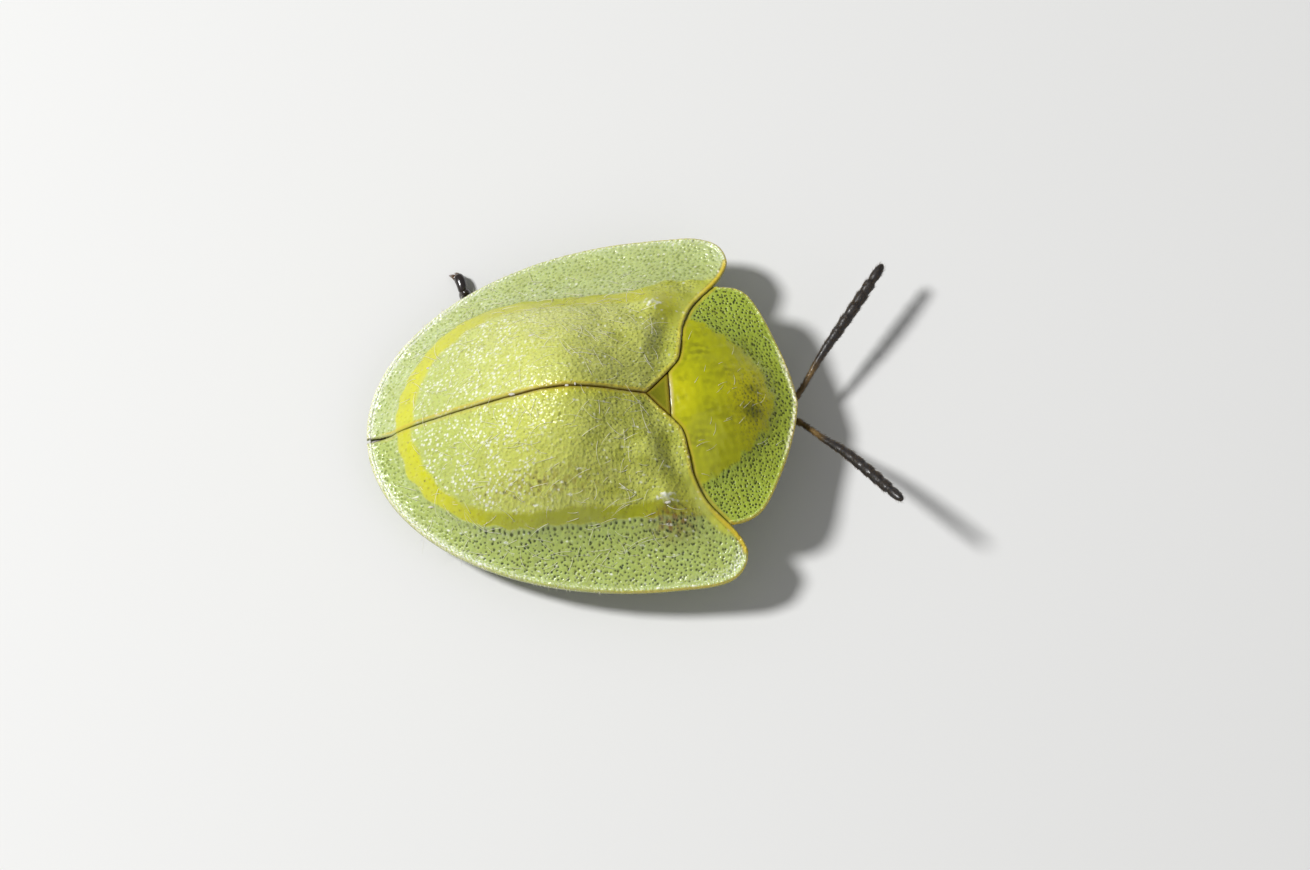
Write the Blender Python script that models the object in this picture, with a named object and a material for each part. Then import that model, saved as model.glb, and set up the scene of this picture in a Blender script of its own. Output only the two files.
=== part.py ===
"""A life-size tortoise beetle, standing still with its feelers out and one hind foot past the rim.

Lengths are in millimetres until a mesh is made. x runs forward from the tail of the wing cases,
y to the beetle's left and z up from the floor. The finished model's origin is the point of the
floor under the middle of its box. Heights called rise are over the plane of the shield's rim.
"""

import math

import bmesh
import bpy
import numpy as np
from mathutils import Matrix

MM = 0.001
GAP = 0.3  # kept between two pieces that meet
PLATE = 0.5  # thickness of the shield's plates
SMOOTH_ANGLE = math.radians(40)

# Overall
BODY_LENGTH = 14.0
FEELER_REACH = 3.35  # how far the feelers stick out in front of the body
ORIGIN_X = (BODY_LENGTH + FEELER_REACH) / 2
TAIL_RIM_Z = 1.1
RIM_RISE = 0.09  # for each millimetre forward: the beetle holds its front a little higher

# Plan of the wing cases
HALF_WIDTH = 5.9
WIDEST_X = 9.4
SHOULDER_X = 12.05  # foremost point of the shoulder lobe
SHOULDER_Y = 4.87
SHOULDER_POWER = 4.9
BASE_EDGE_X = 10.05  # where the front edge would cross the middle
BASE_EDGE_SLOPE = 0.16
BASE_SWEEP = 1.2  # how far the edge sweeps forward to the shoulder
BASE_SWEEP_Y = 2.3  # where the sweep starts
BASE_DIP = 0.14  # shallow hollow in the edge, just outside that
BASE_DIP_Y = 3.4
BASE_DIP_WIDTH = 0.6

# Raised middle of the wing cases, inside their flat border
DISC_TAIL_X = 0.9
DISC_CENTRE_X = 5.3
DISC_LENGTH = DISC_CENTRE_X - DISC_TAIL_X
DISC_HALF_WIDTH = 3.8
DISC_TAIL_RISE = 0.55
DISC_SIDE_RISE = 1.3
HUMP_X = 6.25
RIDGE_RISE = 4.2  # from the tail of the disc to the hump
RIDGE_POWER = 0.8
RIDGE_FALL = 2.1  # from the hump to the base
RIDGE_FALL_LENGTH = 3.95
BASE_RISE = 2.35  # where the wing cases meet the pronotum
BASE_STEP = 0.08  # how much prouder the wing cases stand there
LOBE_DROP = 0.5  # share of the border's rise that is lost out on the shoulder lobe

# Scutellum, the small triangle between the wing cases and the pronotum
SCUTELLUM_TIP_X = 9.08
SCUTELLUM_FRONT_X = 9.65
SCUTELLUM_TIP_Y = 0.06
SCUTELLUM_FRONT_Y = 0.45

# Pronotum
PRONOTUM_HALF_WIDTH = 4.0
PRONOTUM_CORNER_X = 11.8
PRONOTUM_CORNER_POWER = 18
PRONOTUM_ARC = 0.19
PRONOTUM_CENTRE_X = 10.0
PRONOTUM_DISC_LENGTH = 3.3
PRONOTUM_DISC_HALF_WIDTH = 3.0
PRONOTUM_DISC_POWER = 1.65
PRONOTUM_FRONT_RISE = 0.45
PRONOTUM_SIDE_RISE = 0.8
PRONOTUM_RIM_LIFT = 0.5  # the rim curves up from the middle to the sides
PRONOTUM_BLEND = 1.2  # length over which it leaves the height of the wing cases

# Rounded bead along the outer edge of the shield
BEAD_HEIGHT = 0.07
BEAD_WIDTH = 0.16

# Trunk
KEEL_TAIL_Z = 0.85
KEEL_SLOPE = 0.06
FLANK_RISE = 1.2  # how much higher the belly is under the border of the disc than on its keel
TRUNK_HALF_WIDTH = 3.2
TRUNK_MIN_DEPTH = 0.4
ABDOMEN_TAIL_X = 1.5
CREASES_X = [3.1, 3.95, 4.85, 5.75]
CREASE_DEPTH = 0.09
CREASE_HALF_WIDTH = 0.12

# Head
HEAD_CENTRE = np.array([12.65, 0, 1.45])
HEAD_RADII = np.array([0.68, 0.86, 0.58])
EYE_CENTRE = np.array([12.7, 0.72, 1.52])
EYE_RADII = np.array([0.3, 0.25, 0.42])

# Feelers: relative length and widest radius of each of the eleven joints, from the root
FEELER_LENGTHS = [1.0, 0.45, 0.75, 0.8, 0.75, 0.65, 0.65, 0.6, 0.6, 0.6, 0.95]
FEELER_RADII = [0.27, 0.25, 0.25, 0.25, 0.26, 0.28, 0.29, 0.29, 0.29, 0.28, 0.27]
FEELER_ROUTES = {
    "left": [
        (13.55, 0.2, 1.3),
        (14.03, 0.5, 1.38),
        (14.94, 1.78, 1.65),
        (15.95, 3.05, 1.82),
        (17.2, 4.52, 1.95),
    ],
    "right": [
        (13.55, -0.2, 1.3),
        (14.06, -0.42, 1.42),
        (14.8, -1.2, 2.0),
        (15.6, -2.0, 2.52),
        (17.17, -3.75, 3.47),
    ],
}

# Legs: where the hip, knee, ankle and toe of each pair are on the left side
ANKLE_Z = 0.42
LEG_PLACES = {
    "front": {
        "hip": (10.95, 0.75),
        "knee": (11.3, 2.7, 1.6),
        "ankle": (11.75, 2.6, ANKLE_Z),
        "toe": (12.5, 2.8),
    },
    "middle": {
        "hip": (8.95, 1.1),
        "knee": (8.85, 3.8, 1.6),
        "ankle": (8.1, 4.2, ANKLE_Z),
        "toe": (7.3, 4.9),
    },
    "hind": {
        "hip": (7.4, 1.15),
        "knee": (5.7, 3.65, 1.4),
        "ankle": (4.75, 3.6, ANKLE_Z),
        "toe": (3.75, 3.75),
    },
}
# The left hind leg is stretched out sideways, with its foot past the rim
STRETCHED_HIND_LEG = {
    "hip": (7.4, 1.15),
    "knee": (5.3, 3.7, 1.4),
    "ankle": (3.8, 4.4, ANKLE_Z),
    "toe": (3.25, 5.85),
}
THIGH_RADII = [0.27, 0.34, 0.36, 0.27]
SHIN_RADII = [0.25, 0.26, 0.28, 0.3]
# Place along the foot, length and width of each toe pad
TOE_PADS = [(0.02, 0.5, 0.52), (0.27, 0.48, 0.6), (0.52, 0.52, 0.7)]
# Height over the floor and share of the full outline, up the side of a toe pad
PAD_PROFILE = [(0.0, 0.86), (0.12, 1.0), (0.3, 0.92), (0.5, 0.5)]


def smooth(t):
    """0 below 0, 1 above 1, and an S-shaped step in between."""
    t = np.clip(t, 0, 1)
    return t * t * (3 - 2 * t)


def soft_min(a, b, width):
    """The lower of two curves, with the corner where they cross rounded over about that width."""
    return -width * np.logaddexp(-np.asarray(a) / width, -np.asarray(b) / width)


def rim_height(x):
    return TAIL_RIM_Z + RIM_RISE * x


def shield_half_width(x):
    """A quarter ellipse from the tail to the widest place, then the rounded shoulder."""
    behind = 1 - np.minimum(x, WIDEST_X) / WIDEST_X
    rear = HALF_WIDTH * np.sqrt(np.clip(1 - behind**2, 0, 1))
    ahead = np.clip((x - WIDEST_X) / (SHOULDER_X - WIDEST_X), 0, 1)
    shoulder = SHOULDER_Y + (HALF_WIDTH - SHOULDER_Y) * np.sqrt(1 - ahead**SHOULDER_POWER)
    return np.where(x < WIDEST_X, rear, shoulder)


def base_edge_x(y):
    """The wavy front edge of the wing cases, where the pronotum meets them."""
    y = np.abs(y)
    sweep = smooth((y - BASE_SWEEP_Y) / (SHOULDER_Y - BASE_SWEEP_Y))
    dip = BASE_DIP * np.exp(-(((y - BASE_DIP_Y) / BASE_DIP_WIDTH) ** 2))
    return BASE_EDGE_X + BASE_EDGE_SLOPE * y + BASE_SWEEP * sweep - dip


def wing_case_front_x(y):
    """The front edge of a wing case: along the scutellum, then along the base edge."""
    beside_scutellum = SCUTELLUM_TIP_X + np.abs(y)
    return soft_min(beside_scutellum, base_edge_x(y), 0.08)


def pronotum_corner(y):
    """0 over most of the width, and up to 1 in the rounding of the side corners."""
    share = np.clip(np.abs(y) / PRONOTUM_HALF_WIDTH, 0, 1)
    return 1 - np.sqrt(1 - share**PRONOTUM_CORNER_POWER)


def pronotum_front_x(y):
    """A shallow arc, rounded back at the side corners."""
    arc = BODY_LENGTH - PRONOTUM_ARC * np.abs(y) ** 1.5
    side = BODY_LENGTH - PRONOTUM_ARC * PRONOTUM_HALF_WIDTH**1.5
    return arc - (side - PRONOTUM_CORNER_X) * pronotum_corner(y)


def pronotum_back_x(y):
    """The hind edge, which runs straight past the scutellum and then follows the wing cases."""
    return np.maximum(wing_case_front_x(y) + GAP / 2, SCUTELLUM_FRONT_X + GAP)


def border_share(inside_rim, outside_disc):
    """0 on the outer rim and 1 on the border of the disc."""
    between = inside_rim / np.maximum(inside_rim + outside_disc, 1e-6)
    return np.where(outside_disc > 0, between, 1.0)


def border_rise(share, disc_edge):
    """The border is a shallow dish between the rim and the disc."""
    return disc_edge * (0.6 * share + 0.4 * share**2)


def bead(distance):
    return BEAD_HEIGHT * np.exp(-((distance / BEAD_WIDTH) ** 2))


def pronotum_reach(angle):
    """Distance of the pronotum's outline from the middle of its hind edge, in a direction."""
    y = PRONOTUM_HALF_WIDTH * np.sin(np.linspace(0, math.pi / 2, 200))
    ahead = pronotum_front_x(y) - PRONOTUM_CENTRE_X
    outline_angle = np.arctan2(y, ahead)
    in_front = np.interp(angle, outline_angle, np.hypot(ahead, y))
    beside = PRONOTUM_HALF_WIDTH / np.sin(np.maximum(angle, 0.1))
    return np.where(angle > outline_angle[-1], beside, in_front)


def pronotum_dome(x, y):
    """A low dome on a sloping border. Its highest place is the middle of the hind edge."""
    y = np.abs(y)
    ahead = np.maximum(x - PRONOTUM_CENTRE_X, 0)
    angle = np.arctan2(y, ahead)
    along = (ahead / PRONOTUM_DISC_LENGTH) ** PRONOTUM_DISC_POWER
    across = (y / PRONOTUM_DISC_HALF_WIDTH) ** PRONOTUM_DISC_POWER
    disc = (along + across) ** (1 / PRONOTUM_DISC_POWER)
    inside_rim = np.clip(1 - np.hypot(ahead, y) / pronotum_reach(angle), 0, 1)
    disc_edge = PRONOTUM_FRONT_RISE + (PRONOTUM_SIDE_RISE - PRONOTUM_FRONT_RISE) * smooth(angle / 1.1)
    border = border_rise(border_share(inside_rim, disc - 1), disc_edge)
    dome = (BASE_RISE - disc_edge) * (1 - np.minimum(disc, 1) ** 2)
    rim = rim_height(x) + PRONOTUM_RIM_LIFT * smooth((y - 1.2) / 2.6)
    return rim + border + dome


def pronotum_sheet(x, y):
    """The dome, brought to the height of the wing cases along its hind edge."""
    back_x = pronotum_back_x(y)
    lift = wing_case_dome(back_x, y) - BASE_STEP - pronotum_dome(back_x, y)
    return pronotum_dome(x, y) + lift * (1 - smooth((x - back_x) / PRONOTUM_BLEND))


def pronotum_top(x, y):
    edge_x = np.where(np.abs(y) < PRONOTUM_HALF_WIDTH, pronotum_front_x(y), PRONOTUM_CORNER_X)
    return pronotum_sheet(x, y) + bead(np.maximum(edge_x - x, 0))


def disc_half_width(x):
    behind = np.clip((DISC_CENTRE_X - x) / DISC_LENGTH, 0, 1)
    return DISC_HALF_WIDTH * np.sqrt(1 - behind**2)


def ridge_rise(x):
    """Profile along the seam: a long, nearly straight rise to the hump, then a short fall."""
    travelled = np.maximum(x - DISC_TAIL_X, 0) / (HUMP_X - DISC_TAIL_X)
    rise = DISC_TAIL_RISE + RIDGE_RISE * travelled**RIDGE_POWER
    fallen = np.clip((x - HUMP_X) / RIDGE_FALL_LENGTH, 0, 1)
    fall = BASE_RISE + RIDGE_FALL * (1 + np.cos(math.pi * fallen)) / 2
    return soft_min(rise, fall, 0.18)


def swelling(x, y, centre, size, height):
    """A rounded bump of that height, which fades out over that size along x and y."""
    along = (x - centre[0]) / size[0]
    across = (y - centre[1]) / size[1]
    return height * np.exp(-(along**2) - across**2)


def wing_case_dome(x, y):
    """A dome with a hump, on a border that slopes down to the rim."""
    y = np.abs(y)
    disc = np.hypot(np.maximum(DISC_CENTRE_X - x, 0) / DISC_LENGTH, y / DISC_HALF_WIDTH)
    outer = np.hypot(np.maximum(1 - x / WIDEST_X, 0), y / HALF_WIDTH)
    share = border_share(np.clip(1 - outer, 0, 1), disc - 1)
    forward = smooth((x - DISC_TAIL_X) / 5.1)
    disc_edge = DISC_TAIL_RISE + (DISC_SIDE_RISE - DISC_TAIL_RISE) * forward
    border = border_rise(share, disc_edge) * (1 - LOBE_DROP * smooth((x - 9.3) / 2.1))
    across = np.clip(y / np.maximum(disc_half_width(x), 1e-3), 0, 1)
    dome = np.where(disc < 1, (ridge_rise(x) - disc_edge) * (1 - across**2), 0)
    beside_scutellum = swelling(x, y, (9.1, 2.0), (0.75, 0.95), 0.35)
    shoulder_knob = swelling(x, y, (9.5, 3.25), (0.5, 0.5), 0.25)
    top = rim_height(x) + border + dome + beside_scutellum + shoulder_knob
    near_base = smooth(1 - (base_edge_x(y) - x) / 1.3) * (1 - smooth((y - 1.7) / 1.7))
    return top + near_base * (pronotum_dome(x, y) + BASE_STEP - top)


def wing_case_top(x, y):
    rim_distance = np.maximum(shield_half_width(x) - np.abs(y), 0)
    return wing_case_dome(x, y) + bead(rim_distance) * smooth((x - 0.2) / 0.6)


def under_side(dome, x, y, depth):
    """The surface that lies that deep under a dome, measured square to its slope."""
    step = 0.05
    along = (dome(x + step, y) - dome(x - step, y)) / (2 * step)
    across = (dome(x, y + step) - dome(x, y - step)) / (2 * step)
    steepness = np.sqrt(1 + np.minimum(along**2 + across**2, 1.4))
    return dome(x, y) - depth * steepness


def keel_height(x):
    """Lowest line of the belly over the floor."""
    return KEEL_TAIL_Z + KEEL_SLOPE * x


def belly_height(x, y):
    """The belly is a shallow keel, creased between its plates."""
    height = keel_height(x) + FLANK_RISE * (np.abs(y) / DISC_HALF_WIDTH) ** 2
    for crease_x in CREASES_X:
        height = height + CREASE_DEPTH * np.exp(-(((x - crease_x) / CREASE_HALF_WIDTH) ** 2))
    return height


def material(name, colour, roughness):
    made = bpy.data.materials.new(name)
    made.use_nodes = True
    shader = made.node_tree.nodes["Principled BSDF"]
    shader.inputs["Base Color"].default_value = (*colour, 1)
    shader.inputs["Roughness"].default_value = roughness
    shader.inputs["Metallic"].default_value = 0
    return made


def add_object(name, work, finish):
    """Adds a closed mesh, made in millimetres from the tail, with its origin at its middle."""
    bmesh.ops.transform(work, matrix=Matrix.Translation((-ORIGIN_X, 0, 0)), verts=work.verts)
    corners = np.array([vertex.co for vertex in work.verts])
    middle = (corners.min(axis=0) + corners.max(axis=0)) / 2
    bmesh.ops.transform(work, matrix=Matrix.Translation(-middle), verts=work.verts)
    bmesh.ops.scale(work, vec=(MM, MM, MM), verts=work.verts)
    bmesh.ops.triangulate(work, faces=work.faces)
    bmesh.ops.recalc_face_normals(work, faces=work.faces)
    mesh = bpy.data.meshes.new(name)
    work.to_mesh(mesh)
    work.free()
    mesh.shade_smooth()
    mesh.set_sharp_from_angle(angle=SMOOTH_ANGLE)
    mesh.materials.append(finish)
    made = bpy.data.objects.new(name, mesh)
    made.location = middle * MM
    bpy.context.scene.collection.objects.link(made)
    return made


def plate(name, x, y, top, dome, finish):
    """A closed plate over the plan grid x, y: its upper face, its lower face and its edge."""
    rows, columns = x.shape
    levels = (top(x, y), under_side(dome, x, y, PLATE))
    work = bmesh.new()
    layers = []
    for z in levels:
        layers.append([[work.verts.new(co) for co in row] for row in np.stack([x, y, z], axis=2)])
    for layer in layers:
        for r in range(rows - 1):
            for c in range(columns - 1):
                corners = (layer[r][c], layer[r][c + 1], layer[r + 1][c + 1], layer[r + 1][c])
                work.faces.new(corners)
    border = [(0, c) for c in range(columns)]
    border += [(r, columns - 1) for r in range(1, rows)]
    border += [(rows - 1, c) for c in range(columns - 2, -1, -1)]
    border += [(r, 0) for r in range(rows - 2, 0, -1)]
    upper, lower = layers
    for (r, c), (next_r, next_c) in zip(border, border[1:] + border[:1]):
        work.faces.new((upper[r][c], upper[next_r][next_c], lower[next_r][next_c], lower[r][c]))
    bmesh.ops.remove_doubles(work, verts=work.verts, dist=1e-3)
    return add_object(name, work, finish)


def loft(name, rings, finish):
    """Joins closed rings of as many points each, and closes both ends."""
    work = bmesh.new()
    loops = [[work.verts.new(co) for co in ring] for ring in rings]
    for ring, next_ring in zip(loops, loops[1:]):
        for i in range(len(ring)):
            work.faces.new((ring[i - 1], ring[i], next_ring[i], next_ring[i - 1]))
    work.faces.new(loops[0])
    work.faces.new(loops[-1])
    return add_object(name, work, finish)


def ball(name, centre, radii, finish, segments=12, rings=8):
    """An ellipsoid with its poles in front and behind."""
    work = bmesh.new()
    bmesh.ops.create_uvsphere(work, u_segments=segments, v_segments=rings, radius=1)
    turned = Matrix.Rotation(math.pi / 2, 4, "Y")
    placed = Matrix.Translation(centre) @ Matrix.Diagonal((*radii, 1)) @ turned
    bmesh.ops.transform(work, matrix=placed, verts=work.verts)
    return add_object(name, work, finish)


def tube_rings(path, radii, sides):
    """Round rings square to a path."""
    path = np.asarray(path, float)
    tangents = np.gradient(path, axis=0)
    tangents /= np.linalg.norm(tangents, axis=1)[:, None]
    upright = abs(tangents[:, 2]).max() > 0.97
    reference = np.array([1.0, 0, 0] if upright else [0, 0, 1.0])
    angles = np.arange(sides) * 2 * math.pi / sides
    rings = []
    for point, tangent, radius in zip(path, tangents, radii):
        sideways = np.cross(reference, tangent)
        sideways /= np.linalg.norm(sideways)
        upward = np.cross(tangent, sideways)
        ring = np.cos(angles)[:, None] * sideways + np.sin(angles)[:, None] * upward
        rings.append(point + radius * ring)
    return rings


def limb(name, start, end, radii, finish, sides=8):
    """A straight limb with rounded ends, and the given radii spaced evenly along it."""
    start = np.asarray(start, float)
    end = np.asarray(end, float)
    direction = (end - start) / np.linalg.norm(end - start)
    shares = np.linspace(0, 1, len(radii))[:, None]
    first = start - direction * radii[0] * 0.6
    last = end + direction * radii[-1] * 0.6
    path = np.vstack([first, start + (end - start) * shares, last])
    radii = [radii[0] * 0.55, *radii, radii[-1] * 0.55]
    return loft(name, tube_rings(path, radii, sides), finish)


def apply_boolean(target, operation, tools):
    """Joins the tools to the target or cuts them from it, then removes them."""
    collection = bpy.data.collections.new(target.name + "_tools")
    bpy.context.scene.collection.children.link(collection)
    for tool in tools:
        bpy.context.scene.collection.objects.unlink(tool)
        collection.objects.link(tool)
    modifier = target.modifiers.new("tools", "BOOLEAN")
    modifier.operation = operation
    modifier.operand_type = "COLLECTION"
    modifier.collection = collection
    modifier.solver = "EXACT"
    bpy.context.view_layer.update()
    graph = bpy.context.evaluated_depsgraph_get()
    made = bpy.data.meshes.new_from_object(target.evaluated_get(graph))
    target.modifiers.remove(modifier)
    target.data = made
    for tool in list(collection.objects):
        bpy.data.objects.remove(tool)
    bpy.data.collections.remove(collection)
    keep_largest_surface(made)


def keep_largest_surface(mesh):
    """Drops loose scraps and sealed hollows, which a union can leave."""
    work = bmesh.new()
    work.from_mesh(mesh)
    bmesh.ops.remove_doubles(work, verts=work.verts, dist=2e-7)
    bmesh.ops.triangulate(work, faces=work.faces)
    unseen = set(work.faces)
    surfaces = []
    while unseen:
        surface = []
        waiting = [unseen.pop()]
        while waiting:
            face = waiting.pop()
            surface.append(face)
            beside = {other for edge in face.edges for other in edge.link_faces} & unseen
            unseen -= beside
            waiting += sorted(beside, key=lambda other: other.index)
        surfaces.append(surface)
    surfaces.sort(key=lambda faces: sum(face.calc_area() for face in faces))
    scraps = [face for surface in surfaces[:-1] for face in surface]
    bmesh.ops.delete(work, geom=scraps, context="FACES")
    work.to_mesh(mesh)
    work.free()
    mesh.shade_smooth()
    mesh.set_sharp_from_angle(angle=SMOOTH_ANGLE)


def wing_case(name, side, finish):
    """One wing case: a patch stretched between the seam, the rim and the front edge."""
    along = (1 - np.cos(np.linspace(0, math.pi, 29)[:, None])) / 2
    across = np.concatenate([np.linspace(0, 0.93, 15), [0.965, 1.0]])[None, :]
    seam_y = GAP / 2
    rim_x = SHOULDER_X * along
    rim_y = np.maximum(shield_half_width(rim_x), seam_y)
    front_y = seam_y + (SHOULDER_Y - seam_y) * across
    beside_scutellum = smooth((1.0 - front_y) / 0.4)
    beside_pronotum = smooth((PRONOTUM_HALF_WIDTH - front_y) / 0.8)
    setback = np.minimum(GAP * beside_scutellum + GAP / 2 * beside_pronotum, GAP)
    front_x = wing_case_front_x(front_y) - setback
    seam_x = front_x[0, 0]
    chord_x = (1 - across) * seam_x + across * SHOULDER_X
    chord_y = (1 - across) * seam_y + across * SHOULDER_Y
    x = (1 - across) * seam_x * along + across * rim_x + along * (front_x - chord_x)
    y = (1 - across) * seam_y + across * rim_y + along * (front_y - chord_y)
    return plate(name, x, side * y, wing_case_top, wing_case_dome, finish)


def pronotum(finish):
    y = PRONOTUM_HALF_WIDTH * np.sin(np.linspace(-math.pi / 2, math.pi / 2, 27))[:, None]
    forward = np.concatenate([np.linspace(0, 0.9, 9), [0.95, 1.0]])[None, :]
    x = pronotum_back_x(y) * (1 - forward) + pronotum_front_x(y) * forward
    return plate("pronotum", x, y + 0 * forward, pronotum_top, pronotum_sheet, finish)


def scutellum(finish):
    forward = np.linspace(0, 1, 5)[:, None]
    across = np.linspace(-1, 1, 5)[None, :]
    tip_x = SCUTELLUM_TIP_X + 0.1
    x = tip_x + (SCUTELLUM_FRONT_X - tip_x) * forward + 0 * across
    y = across * (SCUTELLUM_TIP_Y + (SCUTELLUM_FRONT_Y - SCUTELLUM_TIP_Y) * forward)
    return plate("scutellum", x, y, wing_case_dome, wing_case_dome, finish)


def trunk_piece(name, stations, half_width, dome, finish):
    """A body section: its back follows the plate above it, its underside is the belly."""
    across = np.linspace(-1, 1, 13)
    rings = []
    for station in stations:
        y = across * half_width(station)
        x = np.full_like(y, station)
        back = under_side(dome, x, y, PLATE + GAP)
        belly = np.minimum(belly_height(x, y), back - TRUNK_MIN_DEPTH)
        upper = np.stack([x, y, back], axis=1)
        lower = np.stack([x, y, belly], axis=1)[::-1]
        rings.append(np.vstack([upper, lower]))
    return loft(name, rings, finish)


def abdomen(finish):
    def half_width(x):
        behind = max(DISC_CENTRE_X - x, 0) / (DISC_CENTRE_X - ABDOMEN_TAIL_X)
        return TRUNK_HALF_WIDTH * math.sqrt(1 - behind**2)

    stations = [1.8, 2.0, 2.5]
    for crease_x in CREASES_X:
        stations += [crease_x - 0.15, crease_x, crease_x + 0.15]
    stations += [6.35, 6.75]
    return trunk_piece("abdomen", stations, half_width, wing_case_dome, finish)


def thorax(finish):
    def half_width(x):
        return TRUNK_HALF_WIDTH - 0.8 * float(smooth((x - 8.3) / 1.6))

    stations = [7.05, 7.7, 8.3, 8.7, 9.1, 9.45, 9.75]
    return trunk_piece("thorax", stations, half_width, wing_case_dome, finish)


def prothorax(finish):
    def half_width(x):
        return 2.3 - 0.75 * float(smooth((x - 10.3) / 1.6))

    stations = [10.3, 10.6, 10.9, 11.2, 11.5, 11.7]
    return trunk_piece("prothorax", stations, half_width, pronotum_sheet, finish)


def head(finish):
    """A small capsule under the pronotum, with its face turned down and forward."""
    skull = ball("head", HEAD_CENTRE, HEAD_RADII, finish, 16, 10)
    brow = limb("brow", (12.95, -0.3, 1.45), (12.95, 0.3, 1.45), [0.28, 0.3, 0.28], finish)
    shield = limb("face_shield", (12.92, 0, 1.3), (13.2, 0, 0.95), [0.34, 0.3, 0.26], finish, 10)
    lip = limb("lip", (13.1, -0.14, 0.85), (13.1, 0.14, 0.85), [0.16, 0.18, 0.16], finish)
    pieces = [brow, shield, lip]
    for side in (1, -1):
        jaw_root = (12.9, side * 0.3, 1.02)
        jaw_tip = (13.25, side * 0.1, 0.7)
        pieces.append(limb("jaw", jaw_root, jaw_tip, [0.2, 0.17, 0.08], finish, 6))
        palp_root = (12.7, side * 0.38, 0.98)
        palp_tip = (13.1, side * 0.52, 0.6)
        pieces.append(limb("palp", palp_root, palp_tip, [0.14, 0.11, 0.13, 0.07], finish, 6))
    apply_boolean(skull, "UNION", pieces)
    sockets = []
    for side in (1, -1):
        sockets.append(ball("socket", EYE_CENTRE * [1, side, 1], EYE_RADII + GAP * 0.7, finish))
    apply_boolean(skull, "DIFFERENCE", sockets)
    return skull


def eye(side_name, side, finish):
    return ball("eye_" + side_name, EYE_CENTRE * [1, side, 1], EYE_RADII, finish, 10, 6)


def route_points(route, shares):
    """The points at those shares of the length of a smooth curve through a route."""
    route = np.asarray(route, float)
    padded = np.vstack([2 * route[0] - route[1], route, 2 * route[-1] - route[-2]])
    curve = []
    for i in range(1, len(padded) - 2):
        a, b, c, d = padded[i - 1 : i + 3]
        for t in np.linspace(0, 1, 20, endpoint=False):
            bend = (2 * a - 5 * b + 4 * c - d) * t**2 + (3 * b - a - 3 * c + d) * t**3
            curve.append(0.5 * (2 * b + (c - a) * t + bend))
    curve = np.vstack([curve, route[-1]])
    travelled = np.concatenate([[0], np.cumsum(np.linalg.norm(np.diff(curve, axis=0), axis=1))])
    wanted = np.asarray(shares) * travelled[-1]
    return np.stack([np.interp(wanted, travelled, curve[:, i]) for i in range(3)], axis=1)


def feeler(side_name, finish):
    """Eleven joints, each a bead that narrows at both ends, swept along the feeler's route."""
    ends = np.concatenate([[0], np.cumsum(FEELER_LENGTHS)]) / sum(FEELER_LENGTHS)
    shares = [0.0]
    radii = [FEELER_RADII[0] * 0.6]
    for start, end, radius in zip(ends[:-1], ends[1:], FEELER_RADII):
        length = end - start
        shares += [start + 0.18 * length, start + 0.5 * length, start + 0.85 * length, end]
        radii += [radius * 0.93, radius, radius * 1.04, radius * 0.84]
    radii[-2] = FEELER_RADII[-1] * 0.7
    radii[-1] = FEELER_RADII[-1] * 0.25
    path = route_points(FEELER_ROUTES[side_name], shares)
    return loft("antenna_" + side_name, tube_rings(path, radii, 8), finish)


def toe_pad(centre, direction, length, width, finish):
    """Oval on plan, rounded above and flat on the floor."""
    angles = np.arange(10)[:, None] * 2 * math.pi / 10
    sideways = np.array([-direction[1], direction[0]])
    outline = np.cos(angles) * direction * length / 2 + np.sin(angles) * sideways * width / 2
    rings = []
    for level, share in PAD_PROFILE:
        rings.append(np.column_stack([centre + outline * share, np.full(10, level)]))
    return loft("toe_pad", rings, finish)


def foot(ankle, toe, finish):
    """Three toe pads, the claw joint that stands on the last one, and two claws."""
    ankle = ankle[:2]
    length = np.linalg.norm(toe - ankle)
    forward = (toe - ankle) / length
    sideways = np.array([-forward[1], forward[0]])
    pieces = []
    for share, size, width in TOE_PADS:
        pieces.append(toe_pad(ankle + forward * length * share, forward, size, width, finish))
    claw_root = np.array([*(ankle + forward * length * 0.55), 0.3])
    claw_end = np.array([*(ankle + forward * length * 0.86), 0.36])
    pieces.append(limb("claw_joint", claw_root, claw_end, [0.2, 0.2, 0.24], finish, 6))
    for spread in (1, -1):
        root = claw_end + [*(sideways * 0.08 * spread), -0.02]
        tip = np.array([*(toe + sideways * 0.2 * spread), 0.12])
        pieces.append(limb("claw", root, tip, [0.12, 0.1, 0.05], finish, 5))
    return pieces


def leg(name, places, side, finish):
    """Hip, thigh, shin and foot, as one solid that hangs just under the belly."""
    flip = np.array([1, side, 1])
    hip_x, hip_y = places["hip"]
    hip_z = belly_height(hip_x, hip_y) - GAP - 0.3
    hip = np.array([hip_x, hip_y, hip_z]) * flip
    knee = np.array(places["knee"]) * flip
    ankle = np.array(places["ankle"]) * flip
    toe = np.array(places["toe"]) * flip[:2]
    thigh = limb(name, hip, knee, THIGH_RADII, finish)
    pieces = [limb("hip", hip + [0, 0, -0.05], hip + [0, 0, 0.12], [0.32, 0.26], finish)]
    pieces.append(limb("shin", knee, ankle, SHIN_RADII, finish))
    pieces += foot(ankle, toe, finish)
    apply_boolean(thigh, "UNION", pieces)
    return thigh


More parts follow.
